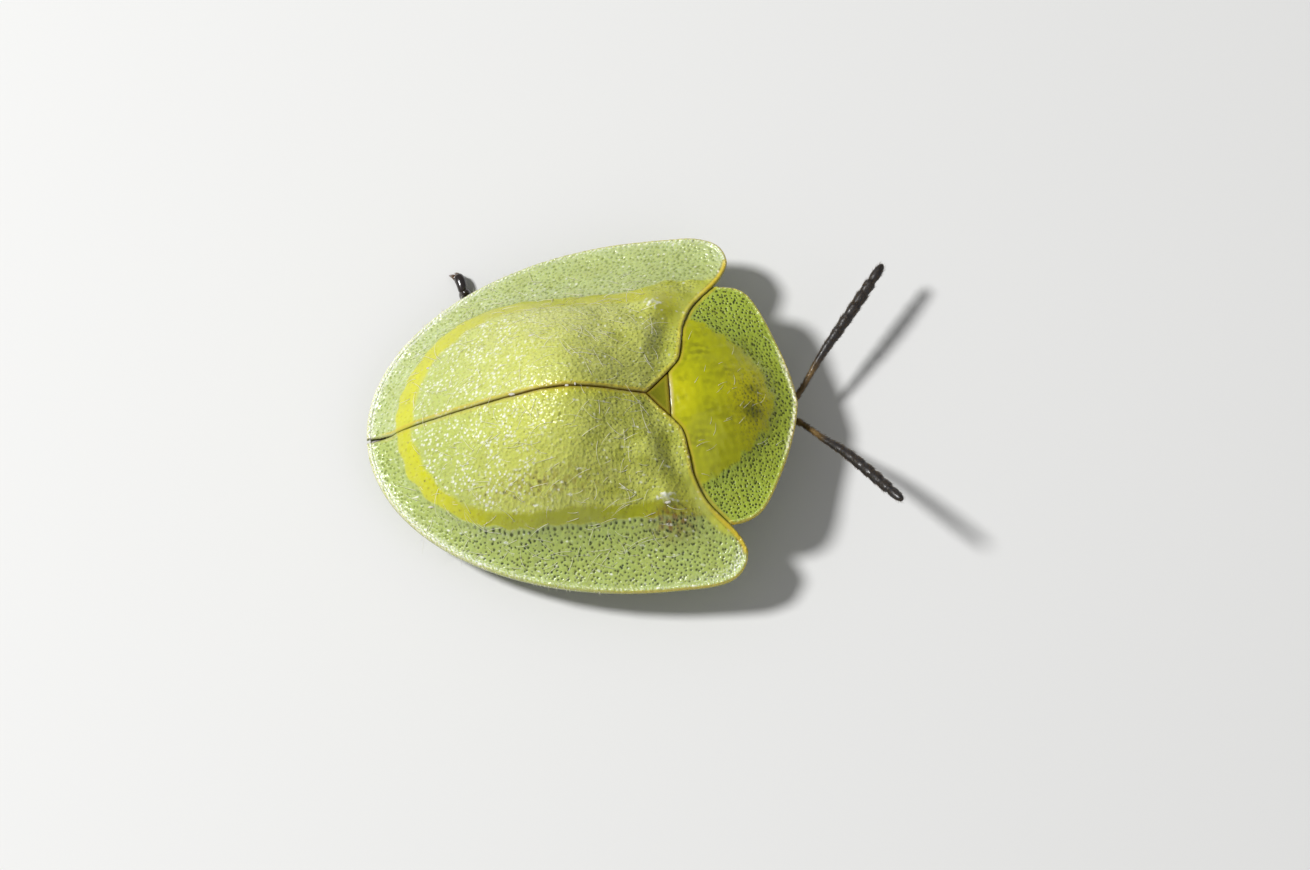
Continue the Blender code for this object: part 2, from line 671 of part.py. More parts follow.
def build():
    for old in list(bpy.data.objects):
        bpy.data.objects.remove(old)
    green = material("wing_case_green", (0.52, 0.56, 0.16), 0.4)
    olive = material("pronotum_olive", (0.48, 0.5, 0.05), 0.38)
    black = material("glossy_black", (0.012, 0.012, 0.016), 0.25)
    brown = material("belly_brown", (0.05, 0.035, 0.015), 0.4)
    amber = material("head_amber", (0.2, 0.12, 0.03), 0.4)

    nodes = [pronotum(olive), scutellum(olive), abdomen(brown), thorax(brown), prothorax(brown)]
    nodes.append(head(amber))
    for side_name, side in (("left", 1), ("right", -1)):
        nodes.append(wing_case("elytron_" + side_name, side, green))
        nodes.append(eye(side_name, side, black))
        nodes.append(feeler(side_name, black))
        for pair, places in LEG_PLACES.items():
            stretched = pair == "hind" and side_name == "left"
            used = STRETCHED_HIND_LEG if stretched else places
            nodes.append(leg(f"leg_{pair}_{side_name}", used, side, black))

    beetle = bpy.data.objects.new("tortoise_beetle", None)
    bpy.context.scene.collection.objects.link(beetle)
    for node in nodes:
        node.parent = beetle


build()
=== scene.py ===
import bpy
import numpy as np
from mathutils import Matrix, Vector


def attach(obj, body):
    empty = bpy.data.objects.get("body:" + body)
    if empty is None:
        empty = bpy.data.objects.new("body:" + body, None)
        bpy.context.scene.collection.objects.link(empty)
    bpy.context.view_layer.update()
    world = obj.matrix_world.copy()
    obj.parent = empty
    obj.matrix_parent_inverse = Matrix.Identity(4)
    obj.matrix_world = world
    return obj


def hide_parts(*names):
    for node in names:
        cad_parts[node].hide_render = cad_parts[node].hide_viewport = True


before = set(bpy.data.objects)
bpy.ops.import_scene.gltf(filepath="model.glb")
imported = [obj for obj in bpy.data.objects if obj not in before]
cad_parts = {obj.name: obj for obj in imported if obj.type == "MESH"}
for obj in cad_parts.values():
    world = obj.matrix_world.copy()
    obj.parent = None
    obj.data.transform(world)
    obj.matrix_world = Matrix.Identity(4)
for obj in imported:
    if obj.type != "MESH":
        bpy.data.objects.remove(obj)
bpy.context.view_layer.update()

mm = 0.001
tau = 2 * np.pi

# Lengths below are millimetres: x runs forward from the tail of the wing cases, y to the beetle's left,
# and z up
shield = {
    "originX": 8.675,  # where the row frame's origin is
    "halfWidth": 5.9, "widestX": 9.4, "shoulderX": 12.05, "shoulderY": 4.87, "shoulderPower": 4.9,
    "tailRimZ": 1.1, "rimRise": 0.09,
    "discX": 5.3, "discLength": 4.4, "discHalfWidth": 3.8,  # raised middle of the wing cases
    "baseX": 10.05, "baseSlope": 0.16, "baseSweep": 1.2, "baseSweepY": 2.3,
    "baseDip": 0.14, "baseDipY": 3.4, "baseDipWidth": 0.6,
    "baseRise": 2.35, "baseStep": 0.08, "scutellumTipX": 9.08, "scutellumFrontX": 9.84,
    "noseX": 14.0, "noseArc": 0.19, "noseHalfWidth": 4.0, "noseCornerX": 11.58, "noseCornerPower": 18,
    "noseDiscX": 10.0, "noseDiscLength": 3.3, "noseDiscHalfWidth": 3.0, "noseDiscPower": 1.65,
    "noseSideLift": 0.5, "noseBlend": 1.2,
    "hairCeiling": 6.06,  # no hair rises higher
}

# Height of the wing cases along the seam, and the places where they swell: height, centre, size
ridge = {
    "tailX": 0.9, "tailRise": 0.55, "humpX": 6.25, "climb": 4.2, "climbPower": 0.8,
    "fall": 2.1, "fallLength": 3.95, "rounding": 0.18,
    "discEdgeRise": 0.75, "discEdgeLength": 5.1, "baseBlend": 1.3, "baseBlendY": 1.7,
    "swellings": [(0.35, (9.1, 2.0), (0.75, 0.95)), (0.25, (9.5, 3.25), (0.5, 0.5))],
}


# S-shaped step: 0 below 0, 1 above 1, and 3t² - 2t³ between
def smooth(t):
    t = np.clip(t, 0, 1)
    return t * t * (3 - 2 * t)


# The lower of two curves, with their crossing rounded over that width: -w·log(exp(-a/w) + exp(-b/w))
def softMin(a, b, width):
    return -width * np.logaddexp(-np.asarray(a) / width, -np.asarray(b) / width)


# Bell-shaped bump: exp of minus the squared distance from a centre, in units of its size along x and y
def bump(x, y, centre, size):
    return np.exp(-((x - centre[0]) / size[0]) ** 2 - ((y - centre[1]) / size[1]) ** 2)


# Uneven ripples, about -1 to 1: a sum of plane waves of about that wavelength in random directions
def ripple(x, y, wavelength, seed, waves=9):
    rng = np.random.default_rng(seed)
    heading = rng.uniform(0, tau, waves)
    phase = rng.uniform(0, tau, waves)
    number = tau / wavelength * rng.uniform(0.7, 1.4, waves)
    total = np.zeros(np.broadcast(x, y).shape)
    for turn, start, k in zip(heading, phase, number):
        total += np.sin(k * (x * np.cos(turn) + y * np.sin(turn)) + start)
    return total / np.sqrt(waves / 2)


# Punctures: one point in each cell of a honeycomb grid, moved at random. Gives the distance of every
# place to its nearest point, the margin to its second nearest, and a random number of the nearest
def punctures(x, y, spacing, seed, jitter=0.75):
    rng = np.random.default_rng(seed)
    row = np.floor(y / (spacing * 0.87)).astype(int)
    column = np.floor(x / spacing).astype(int)
    lowRow = row.min() - 2
    lowColumn = column.min() - 2
    table = rng.random((row.max() - lowRow + 3, column.max() - lowColumn + 3, 3))
    nearest = np.full(x.shape, 1e9)
    second = np.full(x.shape, 1e9)
    luck = np.zeros(x.shape)
    for up in (-1, 0, 1):
        for over in (-1, 0, 1):
            r = row + up
            c = column + over
            drawn = table[r - lowRow, c - lowColumn]
            centreX = (c + 0.5 * (r % 2) + 0.5 + jitter * (drawn[..., 0] - 0.5)) * spacing
            centreY = (r + 0.5 + jitter * (drawn[..., 1] - 0.5)) * spacing * 0.87
            distance = np.hypot(x - centreX, y - centreY)
            closer = distance < nearest
            second = np.where(closer, nearest, np.minimum(second, distance))
            luck = np.where(closer, drawn[..., 2], luck)
            nearest = np.where(closer, distance, nearest)
    return nearest, second - nearest, luck


# Shortest distance of every place to a path: the least of its distances to the path's segments
def distanceTo(x, y, pathX, pathY):
    best = np.full(x.shape, 1e9)
    for ax, ay, bx, by in zip(pathX[:-1], pathY[:-1], pathX[1:], pathY[1:]):
        dx = bx - ax
        dy = by - ay
        share = np.clip(((x - ax) * dx + (y - ay) * dy) / max(dx * dx + dy * dy, 1e-12), 0, 1)
        best = np.minimum(best, (x - ax - share * dx) ** 2 + (y - ay - share * dy) ** 2)
    return np.sqrt(best)


# A number for each point of a grid of quads, row by row
def gridNumbers(rows, columns, start=0):
    return np.arange(rows * columns).reshape(rows, columns) + start


# Quads of a grid, wound so that they face up when rows run along x and columns along y
def gridQuads(numbers, flip=False):
    quads = np.stack([numbers[:-1, :-1], numbers[1:, :-1], numbers[1:, 1:], numbers[:-1, 1:]], axis=-1)
    quads = quads.reshape(-1, 4)
    return quads[:, ::-1] if flip else quads


# The border of a grid as one closed walk
def borderWalk(numbers):
    return np.concatenate([numbers[0, :-1], numbers[:-1, -1], numbers[-1, :0:-1], numbers[:0:-1, 0]])


# Closed plate: a fine upper grid, a coarser lower grid that keeps every coarse-th row and column, and an
# edge of triangles that fans from each lower border point to the upper ones beside it
def closePlate(upper, lower, coarse, flip):
    top = gridNumbers(*upper.shape[:2])
    low = gridNumbers(*lower.shape[:2], start=top.size)
    points = np.concatenate([upper.reshape(-1, 3), lower.reshape(-1, 3)])
    topWalk = borderWalk(top)
    lowWalk = borderWalk(low)
    half = coarse // 2
    fans = []
    segment = np.arange(len(lowWalk))
    for step in range(coarse):
        a = topWalk[segment * coarse + step]
        b = topWalk[(segment * coarse + step + 1) % len(topWalk)]
        owner = lowWalk if step < half else np.roll(lowWalk, -1)
        fans.append(np.stack([a, b, owner], axis=1))
    middle = topWalk[segment * coarse + half]
    fans.append(np.stack([lowWalk, middle, np.roll(lowWalk, -1)], axis=1))
    tris = np.concatenate(fans)
    quads = np.concatenate([gridQuads(top, flip), gridQuads(low, not flip)])
    return points, quads, tris[:, ::-1] if flip else tris


# Points in one place, to a twentieth of a micrometre, become one, and quads that lose a corner become
# triangles. Each mask keeps the value of the first such point
def weld(surface, masks):
    points, quads, tris = surface
    keys = np.round(points * 2e4).astype(np.int64)
    first, inverse = np.unique(keys, axis=0, return_index=True, return_inverse=True)[1:]
    inverse = inverse.reshape(-1)
    quads = inverse[quads]
    tris = inverse[tris]
    repeats = quads == np.roll(quads, -1, axis=1)
    lost = repeats.sum(axis=1)
    short = quads[lost == 1]
    at = repeats[lost == 1].argmax(axis=1)
    kept = np.stack([(at + 1) % 4, (at + 2) % 4, (at + 3) % 4], axis=1)
    tris = np.concatenate([tris, np.take_along_axis(short, kept, axis=1)])
    whole = (tris[:, 0] != tris[:, 1]) & (tris[:, 1] != tris[:, 2]) & (tris[:, 2] != tris[:, 0])
    masks = {name: values[first] for name, values in masks.items()}
    return (points[first], quads[lost == 0], tris[whole]), masks


# Masks of a plate's upper grid, followed by zeros for its lower grid
def aboveLower(masks, lowCount):
    return {name: np.concatenate([values.ravel(), np.zeros(lowCount)]) for name, values in masks.items()}


# Closed surface from rings of points: quads between the rings, and a fan from each end point to its ring
def closeRings(points, ends, flip=False):
    numbers = gridNumbers(*points.shape[:2])
    beside = np.roll(numbers, -1, axis=1)
    quads = np.stack([numbers[:-1], beside[:-1], beside[1:], numbers[1:]], axis=-1).reshape(-1, 4)
    firstEnd = np.full(points.shape[1], numbers.size)
    startCap = np.stack([firstEnd, beside[0], numbers[0]], axis=1)
    endCap = np.stack([firstEnd + 1, numbers[-1], beside[-1]], axis=1)
    caps = np.concatenate([startCap, endCap])
    flat = np.concatenate([points.reshape(-1, 3), ends])
    return (flat, quads[:, ::-1], caps[:, ::-1]) if flip else (flat, quads, caps)


# The same surface on that side of the body, its faces still outwards
def mirrored(surface, side):
    points, quads, tris = surface
    points = points * [1, side, 1]
    return (points, quads, tris) if side > 0 else (points, quads[:, ::-1], tris[:, ::-1])


# Bead along a rim: a half circle of that radius, drawn to that height
def rimBead(toRim, radius, height):
    bead = np.sqrt(np.clip(1 - (1 - toRim / radius) ** 2, 0, 1))
    return np.where(toRim < radius * 2, bead, 0) * height


# Bowl of a puncture: 1 within 0.45 of its size, fading to 0 at 0.9 of it
def pitShape(nearest, size):
    return 1 - smooth((nearest / size - 0.45) / 0.45)


# Tube: rings square to a path, each an ellipse of the given half width and half height, relief scales
# the radius by place along and angle around, and a fan closes each end. Rings turn outwards
def tube(path, wide, high=None, sides=16, up=(0, 0, 1), relief=None):
    path = np.asarray(path, float)
    wide = np.broadcast_to(np.asarray(wide, float), len(path))
    high = wide if high is None else np.broadcast_to(np.asarray(high, float), len(path))
    forward = np.gradient(path, axis=0)
    forward /= np.linalg.norm(forward, axis=1)[:, None]
    sideways = np.cross(np.asarray(up, float), forward)
    sideways /= np.linalg.norm(sideways, axis=1)[:, None]
    upward = np.cross(forward, sideways)
    angle = np.arange(sides) * tau / sides
    along = np.linspace(0, 1, len(path))[:, None]
    scale = 1 if relief is None else relief(along, angle[None, :])[..., None]
    ring = np.cos(angle)[None, :, None] * sideways[:, None] * wide[:, None, None]
    ring = ring + np.sin(angle)[None, :, None] * upward[:, None] * high[:, None, None]
    return closeRings(path[:, None] + ring * scale, path[[0, -1]])


# Limb: a tube from start to end whose radii are spaced evenly along it, drawn in to a blunt round end.
# The draw-in is the square root of 1 - |2u - 1|^blunt, and sag bows it by sag·4u(1 - u)
def limb(start, end, radii, flat=1.0, rings=40, sides=20, blunt=10, sag=(0, 0, 0), up=(0, 0, 1),
         relief=None):
    start = np.asarray(start, float)
    end = np.asarray(end, float)
    u = (1 - np.cos(np.linspace(0, np.pi, rings))) / 2
    reach = (end - start) / np.linalg.norm(end - start)
    first = start - reach * radii[0] * 0.5
    last = end + reach * radii[-1] * 0.5
    path = first + (last - first) * u[:, None] + np.asarray(sag) * (4 * u * (1 - u))[:, None]
    knots = np.linspace(0, 1, len(radii))
    spread = np.interp(u, knots, radii)
    spread = spread * (np.sqrt(np.clip(1 - np.abs(2 * u - 1) ** blunt, 0, 1)) + 0.01)
    return tube(path, spread, spread * flat, sides, up, relief)


# Ball: a tube along an axis whose radius follows the half circle
def ball(centre, radii, rings=24, sides=24, relief=None):
    u = np.linspace(0.02, np.pi - 0.02, rings)
    path = np.asarray(centre) + np.stack([-np.cos(u) * radii[0], 0 * u, 0 * u], axis=1)
    return tube(path, np.sin(u) * radii[1], np.sin(u) * radii[2], sides, relief=relief)


# Hairs: each leaves its root at a slant, bends over and tapers. Along the heading it goes length·u, off
# the surface length·(rise·u - sag·u²), and sideways length·bend·u². Three sides, closed at both ends.
# Hairs that would pass the ceiling or the widest part of the shield are left out
def hairs(roots, normals, heading, length, rise, sag, bend, thick, steps=6):
    heading = heading - normals * (heading * normals).sum(axis=1)[:, None]
    heading /= np.linalg.norm(heading, axis=1)[:, None]
    side = np.cross(normals, heading)
    u = np.linspace(0, 1, steps)[None, :, None]
    size = length[:, None, None]
    centre = roots[:, None] + size * heading[:, None] * u
    centre = centre + size * normals[:, None] * (rise[:, None, None] * u - sag[:, None, None] * u**2)
    centre = centre + size * side[:, None] * bend[:, None, None] * u**2
    forward = np.gradient(centre, axis=1)
    across = np.cross(forward, normals[:, None])
    across /= np.linalg.norm(across, axis=2)[..., None]
    upward = np.cross(across, forward)
    upward /= np.linalg.norm(upward, axis=2)[..., None]
    radius = (thick * (1 - 0.8 * u[0, :, 0]))[None, :, None, None]
    angle = (np.arange(3) * tau / 3)[None, None, :, None]
    ring = np.cos(angle) * across[:, :, None] + np.sin(angle) * upward[:, :, None]
    points = centre[:, :, None] + radius * ring
    low = points[..., 2].max(axis=(1, 2)) < shield["hairCeiling"]
    points = points[low & (np.abs(points[..., 1]).max(axis=(1, 2)) < shield["halfWidth"])]
    count = len(points)
    numbers = np.arange(count * steps * 3).reshape(count, steps, 3)
    beside = np.roll(numbers, -1, axis=2)
    quads = np.stack([numbers[:, :-1], numbers[:, 1:], beside[:, 1:], beside[:, :-1]], axis=-1)
    caps = np.concatenate([numbers[:, 0], numbers[:, -1, ::-1]])
    return points.reshape(-1, 3), quads.reshape(-1, 4), caps


# Several closed surfaces in one set of points and faces, with one mask value for each
def joined(parts, values=None):
    points, quads, tris, masks = [], [], [], []
    start = 0
    for i, (partPoints, partQuads, partTris) in enumerate(parts):
        points.append(partPoints)
        quads.append(partQuads + start)
        tris.append(partTris + start)
        masks.append(np.full(len(partPoints), 0.0 if values is None else values[i]))
        start += len(partPoints)
    return (np.concatenate(points), np.concatenate(quads), np.concatenate(tris)), np.concatenate(masks)


# Puts finished arrays into a mesh object in metres, and ties it to the frame
def makePiece(name, surface, masks, finish, nodes=()):
    points, quads, tris = surface
    mesh = bpy.data.meshes.new(name)
    placed = (points - [shield["originX"], 0, 0]) * mm
    corners = np.concatenate([quads.ravel(), tris.ravel()]).astype(np.int32)
    starts = np.concatenate([np.arange(len(quads)) * 4, len(quads) * 4 + np.arange(len(tris)) * 3])
    mesh.vertices.add(len(points))
    mesh.vertices.foreach_set("co", placed.astype(np.float32).ravel())
    mesh.loops.add(len(corners))
    mesh.loops.foreach_set("vertex_index", corners)
    mesh.polygons.add(len(starts))
    mesh.polygons.foreach_set("loop_start", starts.astype(np.int32))
    mesh.update(calc_edges=True)
    mesh.shade_smooth()
    for maskName, values in masks.items():
        made = mesh.attributes.new(maskName, "FLOAT", "POINT")
        made.data.foreach_set("value", np.clip(values, 0, 1).astype(np.float32))
    mesh.materials.append(finish)
    piece = bpy.data.objects.new(name, mesh)
    bpy.context.scene.collection.objects.link(piece)
    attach(piece, "root")
    if nodes:
        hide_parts(*nodes)
    print(f"{name}: {len(quads) * 2 + len(tris)} triangles")


# Height of the shield's rim: a plane that rises a little to the front
def rimHeight(x):
    return shield["tailRimZ"] + shield["rimRise"] * x


# Half width of the shield: a quarter ellipse to the widest place, then a superellipse round the shoulder
def halfWidthAt(x):
    behind = 1 - np.minimum(x, shield["widestX"]) / shield["widestX"]
    rear = shield["halfWidth"] * np.sqrt(np.clip(1 - behind**2, 0, 1))
    ahead = np.clip((x - shield["widestX"]) / (shield["shoulderX"] - shield["widestX"]), 0, 1)
    drop = np.sqrt(1 - ahead ** shield["shoulderPower"])
    shoulder = shield["shoulderY"] + (shield["halfWidth"] - shield["shoulderY"]) * drop
    return np.where(x < shield["widestX"], rear, shoulder)


# The wavy line where wing cases and pronotum meet: a slight slope, an S-shaped sweep to the shoulder
# and a shallow dip where the sweep begins
def baseEdgeX(y):
    y = np.abs(y)
    sweep = smooth((y - shield["baseSweepY"]) / (shield["shoulderY"] - shield["baseSweepY"]))
    dip = shield["baseDip"] * np.exp(-((y - shield["baseDipY"]) / shield["baseDipWidth"]) ** 2)
    return shield["baseX"] + shield["baseSlope"] * y + shield["baseSweep"] * sweep - dip


# Front edge of a wing case: beside the scutellum a straight slant, then the base edge
def wingFrontX(y):
    return softMin(shield["scutellumTipX"] + np.abs(y), baseEdgeX(y), 0.08)


# 0 over most of the pronotum's width, up to 1 in the rounding of its side corners
def noseCorner(y):
    share = np.clip(np.abs(y) / shield["noseHalfWidth"], 0, 1)
    return 1 - np.sqrt(1 - share ** shield["noseCornerPower"])


# Front edge of the pronotum: nose less 0.19·|y|^1.5, drawn back to the corners
def noseFrontX(y):
    arc = shield["noseX"] - shield["noseArc"] * np.abs(y) ** 1.5
    side = shield["noseX"] - shield["noseArc"] * shield["noseHalfWidth"] ** 1.5
    return arc - (side - shield["noseCornerX"]) * noseCorner(y)


# Hind edge of the pronotum: along the wing cases' front edge, and across the scutellum's front
def noseBackX(y, gap):
    return -softMin(-shield["scutellumFrontX"], -wingFrontX(y), 0.03) + gap


# Share of the way from rim to disc: inside distance over inside plus outside distance, 1 on the disc
def borderShare(insideRim, outsideDisc):
    between = insideRim / np.maximum(insideRim + outsideDisc, 1e-6)
    return np.where(outsideDisc > 0, between, 1.0)


# The flat border as a shallow dish: edge height times 0.6s + 0.4s²
def borderRise(share, discEdge):
    return discEdge * (0.6 * share + 0.4 * share**2)


# Distance from the middle of the hind edge to the pronotum's outline in a direction
def noseReach(angle):
    y = shield["noseHalfWidth"] * np.sin(np.linspace(0, np.pi / 2, 200))
    ahead = noseFrontX(y) - shield["noseDiscX"]
    outline = np.arctan2(y, ahead)
    inFront = np.interp(angle, outline, np.hypot(ahead, y))
    beside = shield["noseHalfWidth"] / np.sin(np.maximum(angle, 0.1))
    return np.where(angle > outline[-1], beside, inFront)


# How far out a place is on the pronotum's raised middle, 1 on its edge: half a superellipse
def noseDisc(x, y):
    power = shield["noseDiscPower"]
    along = (np.maximum(x - shield["noseDiscX"], 0) / shield["noseDiscLength"]) ** power
    across = (np.abs(y) / shield["noseDiscHalfWidth"]) ** power
    return (along + across) ** (1 / power)


# Pronotum: a dome of height (1 - disc²) on the dished border, whose rim lifts towards the sides
def noseDome(x, y):
    y = np.abs(y)
    ahead = np.maximum(x - shield["noseDiscX"], 0)
    angle = np.arctan2(y, ahead)
    disc = noseDisc(x, y)
    insideRim = np.clip(1 - np.hypot(ahead, y) / noseReach(angle), 0, 1)
    discEdge = 0.45 + 0.35 * smooth(angle / 1.1)
    dome = (shield["baseRise"] - discEdge) * (1 - np.minimum(disc, 1) ** 2)
    rim = rimHeight(x) + shield["noseSideLift"] * smooth((y - 1.2) / 2.6)
    return rim + borderRise(borderShare(insideRim, disc - 1), discEdge) + dome


# How far out a place is on the wing cases' raised middle, 1 on its edge: half an ellipse, then straight
def wingDisc(x, y):
    behind = np.maximum(shield["discX"] - x, 0) / shield["discLength"]
    return np.hypot(behind, y / shield["discHalfWidth"])


# Profile along the seam: a power curve up to the hump, then half a cosine down to the base
def ridgeRise(x):
    climbed = np.maximum(x - ridge["tailX"], 0) / (ridge["humpX"] - ridge["tailX"])
    rise = ridge["tailRise"] + ridge["climb"] * climbed ** ridge["climbPower"]
    fallen = np.clip((x - ridge["humpX"]) / ridge["fallLength"], 0, 1)
    fall = shield["baseRise"] + ridge["fall"] * (1 + np.cos(np.pi * fallen)) / 2
    return softMin(rise, fall, ridge["rounding"])


# Wing cases: ridge profile times (1 - y²/w²) across, on the dished border, with swellings by the
# scutellum and shoulder, brought to the pronotum's height along the middle of the base
def wingDome(x, y):
    y = np.abs(y)
    disc = wingDisc(x, y)
    outer = np.hypot(np.maximum(1 - x / shield["widestX"], 0), y / shield["halfWidth"])
    share = borderShare(np.clip(1 - outer, 0, 1), disc - 1)
    discEdge = smooth((x - ridge["tailX"]) / ridge["discEdgeLength"])
    discEdge = ridge["tailRise"] + ridge["discEdgeRise"] * discEdge
    border = borderRise(share, discEdge) * (1 - 0.5 * smooth((x - 9.3) / 2.1))
    behind = np.clip((shield["discX"] - x) / shield["discLength"], 0, 1)
    discWidth = shield["discHalfWidth"] * np.sqrt(1 - behind**2)
    across = np.clip(y / np.maximum(discWidth, 1e-3), 0, 1)
    dome = np.where(disc < 1, (ridgeRise(x) - discEdge) * (1 - across**2), 0)
    swelling = sum(high * bump(x, y, centre, size) for high, centre, size in ridge["swellings"])
    top = rimHeight(x) + border + dome + swelling
    nearBase = smooth(1 - (baseEdgeX(y) - x) / ridge["baseBlend"])
    nearBase = nearBase * (1 - smooth((y - ridge["baseBlendY"]) / ridge["baseBlendY"]))
    return top + nearBase * (noseDome(x, y) + shield["baseStep"] - top)


# Pronotum brought to the height of the wing cases along its hind edge, fading out over that length
def noseTop(x, y):
    back = noseBackX(y, 0)
    step = wingDome(back, y) - shield["baseStep"] - noseDome(back, y)
    return noseDome(x, y) + step * (1 - smooth((x - back) / shield["noseBlend"]))


# How much a sloping sheet is thicker when measured upright: the root of 1 + slope²
def steepness(dome, x, y):
    along = (dome(x + 0.04, y) - dome(x - 0.04, y)) / 0.08
    across = (dome(x, y + 0.04) - dome(x, y - 0.04)) / 0.08
    return np.sqrt(1 + np.minimum(along**2 + across**2, 1.4))


# Upright direction of a surface given by its height: (-slope along x, -slope along y, 1), made length 1
def surfaceNormal(height, x, y):
    along = (height(x + 0.05, y) - height(x - 0.05, y)) / 0.1
    across = (height(x, y + 0.05) - height(x, y - 0.05)) / 0.1
    normal = np.stack([-along, -across, np.ones_like(along)], axis=1)
    return normal / np.linalg.norm(normal, axis=1)[:, None]


print("shapes ready")


# Finishes: a new material, its node tree and its Principled shader
def newFinish(name):
    finish = bpy.data.materials.new(name)
    finish.use_nodes = True
    tree = finish.node_tree
    return finish, tree, tree.nodes["Principled BSDF"]


# The next functions add one node or group each, join what they are given to it, and give its output
def addMask(tree, name):
    node = tree.nodes.new("ShaderNodeAttribute")
    node.attribute_name = name
    return node.outputs["Fac"]


def addObjectPlace(tree):
    return tree.nodes.new("ShaderNodeTexCoord").outputs["Object"]


def addColourMix(tree, under, over, share):
    node = tree.nodes.new("ShaderNodeMix")
    node.data_type = "RGBA"
    for socket, value in (("A", under), ("B", over)):
        target = [s for s in node.inputs if s.name == socket and s.type == "RGBA"][0]
        if isinstance(value, bpy.types.NodeSocket):
            tree.links.new(value, target)
        else:
            target.default_value = (*value, 1)
    if isinstance(share, bpy.types.NodeSocket):
        tree.links.new(share, node.inputs["Factor"])
    else:
        node.inputs["Factor"].default_value = share
    return [s for s in node.outputs if s.type == "RGBA"][0]


def addMaths(tree, operation, a, b):
    node = tree.nodes.new("ShaderNodeMath")
    node.operation = operation
    for socket, value in zip(node.inputs, (a, b)):
        if isinstance(value, bpy.types.NodeSocket):
            tree.links.new(value, socket)
        else:
            socket.default_value = value
    return node.outputs[0]


def addGroup(name, inputs, outputs):
    tree = bpy.data.node_groups.new(name, "ShaderNodeTree")
    kinds = {"colour": "NodeSocketColor", "value": "NodeSocketFloat", "vector": "NodeSocketVector"}
    for socketName, kind in inputs:
        tree.interface.new_socket(name=socketName, in_out="INPUT", socket_type=kinds[kind])
    for socketName, kind in outputs:
        tree.interface.new_socket(name=socketName, in_out="OUTPUT", socket_type=kinds[kind])
    return tree, tree.nodes.new("NodeGroupInput"), tree.nodes.new("NodeGroupOutput")


def useGroup(tree, group, values):
    node = tree.nodes.new("ShaderNodeGroup")
    node.node_tree = group
    for socketName, value in values.items():
        if isinstance(value, bpy.types.NodeSocket):
            tree.links.new(value, node.inputs[socketName])
        elif isinstance(value, tuple):
            node.inputs[socketName].default_value = (*value, 1)
        else:
            node.inputs[socketName].default_value = value
    return node


# Shared effect: cloudy variation between two colours, with finer grain on top
def buildMottle():
    tree, given, result = addGroup(
        "mottle",
        [("Place", "vector"), ("Colour", "colour"), ("Other", "colour"), ("Amount", "value"),
         ("Scale", "value")],
        [("Colour", "colour"), ("Cloud", "value")])
    cloud = tree.nodes.new("ShaderNodeTexNoise")
    cloud.inputs["Detail"].default_value = 4
    cloud.inputs["Roughness"].default_value = 0.62
    tree.links.new(given.outputs["Place"], cloud.inputs["Vector"])
    tree.links.new(given.outputs["Scale"], cloud.inputs["Scale"])
    spread = tree.nodes.new("ShaderNodeMapRange")
    spread.inputs["From Min"].default_value = 0.35
    spread.inputs["From Max"].default_value = 0.68
    tree.links.new(cloud.outputs["Fac"], spread.inputs["Value"])
    share = addMaths(tree, "MULTIPLY", spread.outputs["Result"], given.outputs["Amount"])
    mixed = addColourMix(tree, given.outputs["Colour"], given.outputs["Other"], share)
    tree.links.new(mixed, result.inputs["Colour"])
    tree.links.new(spread.outputs["Result"], result.inputs["Cloud"])
    return tree


# Shared effect: fine unevenness of horn, as a bump height: small cells and a coarser noise
def buildHornGrain():
    tree, given, result = addGroup(
        "hornGrain", [("Place", "vector"), ("Scale", "value")], [("Height", "value"), ("Gloss", "value")])
    cells = tree.nodes.new("ShaderNodeTexVoronoi")
    cells.feature = "SMOOTH_F1"
    noise = tree.nodes.new("ShaderNodeTexNoise")
    noise.inputs["Detail"].default_value = 3
    coarser = addMaths(tree, "MULTIPLY", given.outputs["Scale"], 0.35)
    for node, scale in ((cells, given.outputs["Scale"]), (noise, coarser)):
        tree.links.new(given.outputs["Place"], node.inputs["Vector"])
        tree.links.new(scale, node.inputs["Scale"])
    height = addMaths(tree, "ADD", cells.outputs["Distance"], noise.outputs["Fac"])
    tree.links.new(height, result.inputs["Height"])
    tree.links.new(noise.outputs["Fac"], result.inputs["Gloss"])
    return tree


# Shared effect: fine bowls that each catch one glint: a bump height of cell distance squared
def buildBowls():
    tree, given, result = addGroup(
        "glintBowls", [("Place", "vector"), ("Scale", "value"), ("Share", "value")], [("Height", "value")])
    cells = tree.nodes.new("ShaderNodeTexVoronoi")
    cells.voronoi_dimensions = "2D"
    tree.links.new(given.outputs["Place"], cells.inputs["Vector"])
    tree.links.new(given.outputs["Scale"], cells.inputs["Scale"])
    square = addMaths(tree, "MULTIPLY", cells.outputs["Distance"], cells.outputs["Distance"])
    tree.links.new(addMaths(tree, "MULTIPLY", square, given.outputs["Share"]), result.inputs["Height"])
    return tree


# Shared effect: the shell's pattern. The masks are painted over each other in the order of the list
# The third layer paints real dark colour on the pronotum's blotches and the scutellum, and painted shade
# on the wing cases
# The whitish layer paints real scuffs together with painted highlights, glints and painted light on the
# lit sides
shellLayers = ["Disc", "Band", "Dark_and_shade", "Stain", "Pit", "Scuff_and_glint", "Amber", "Edge"]


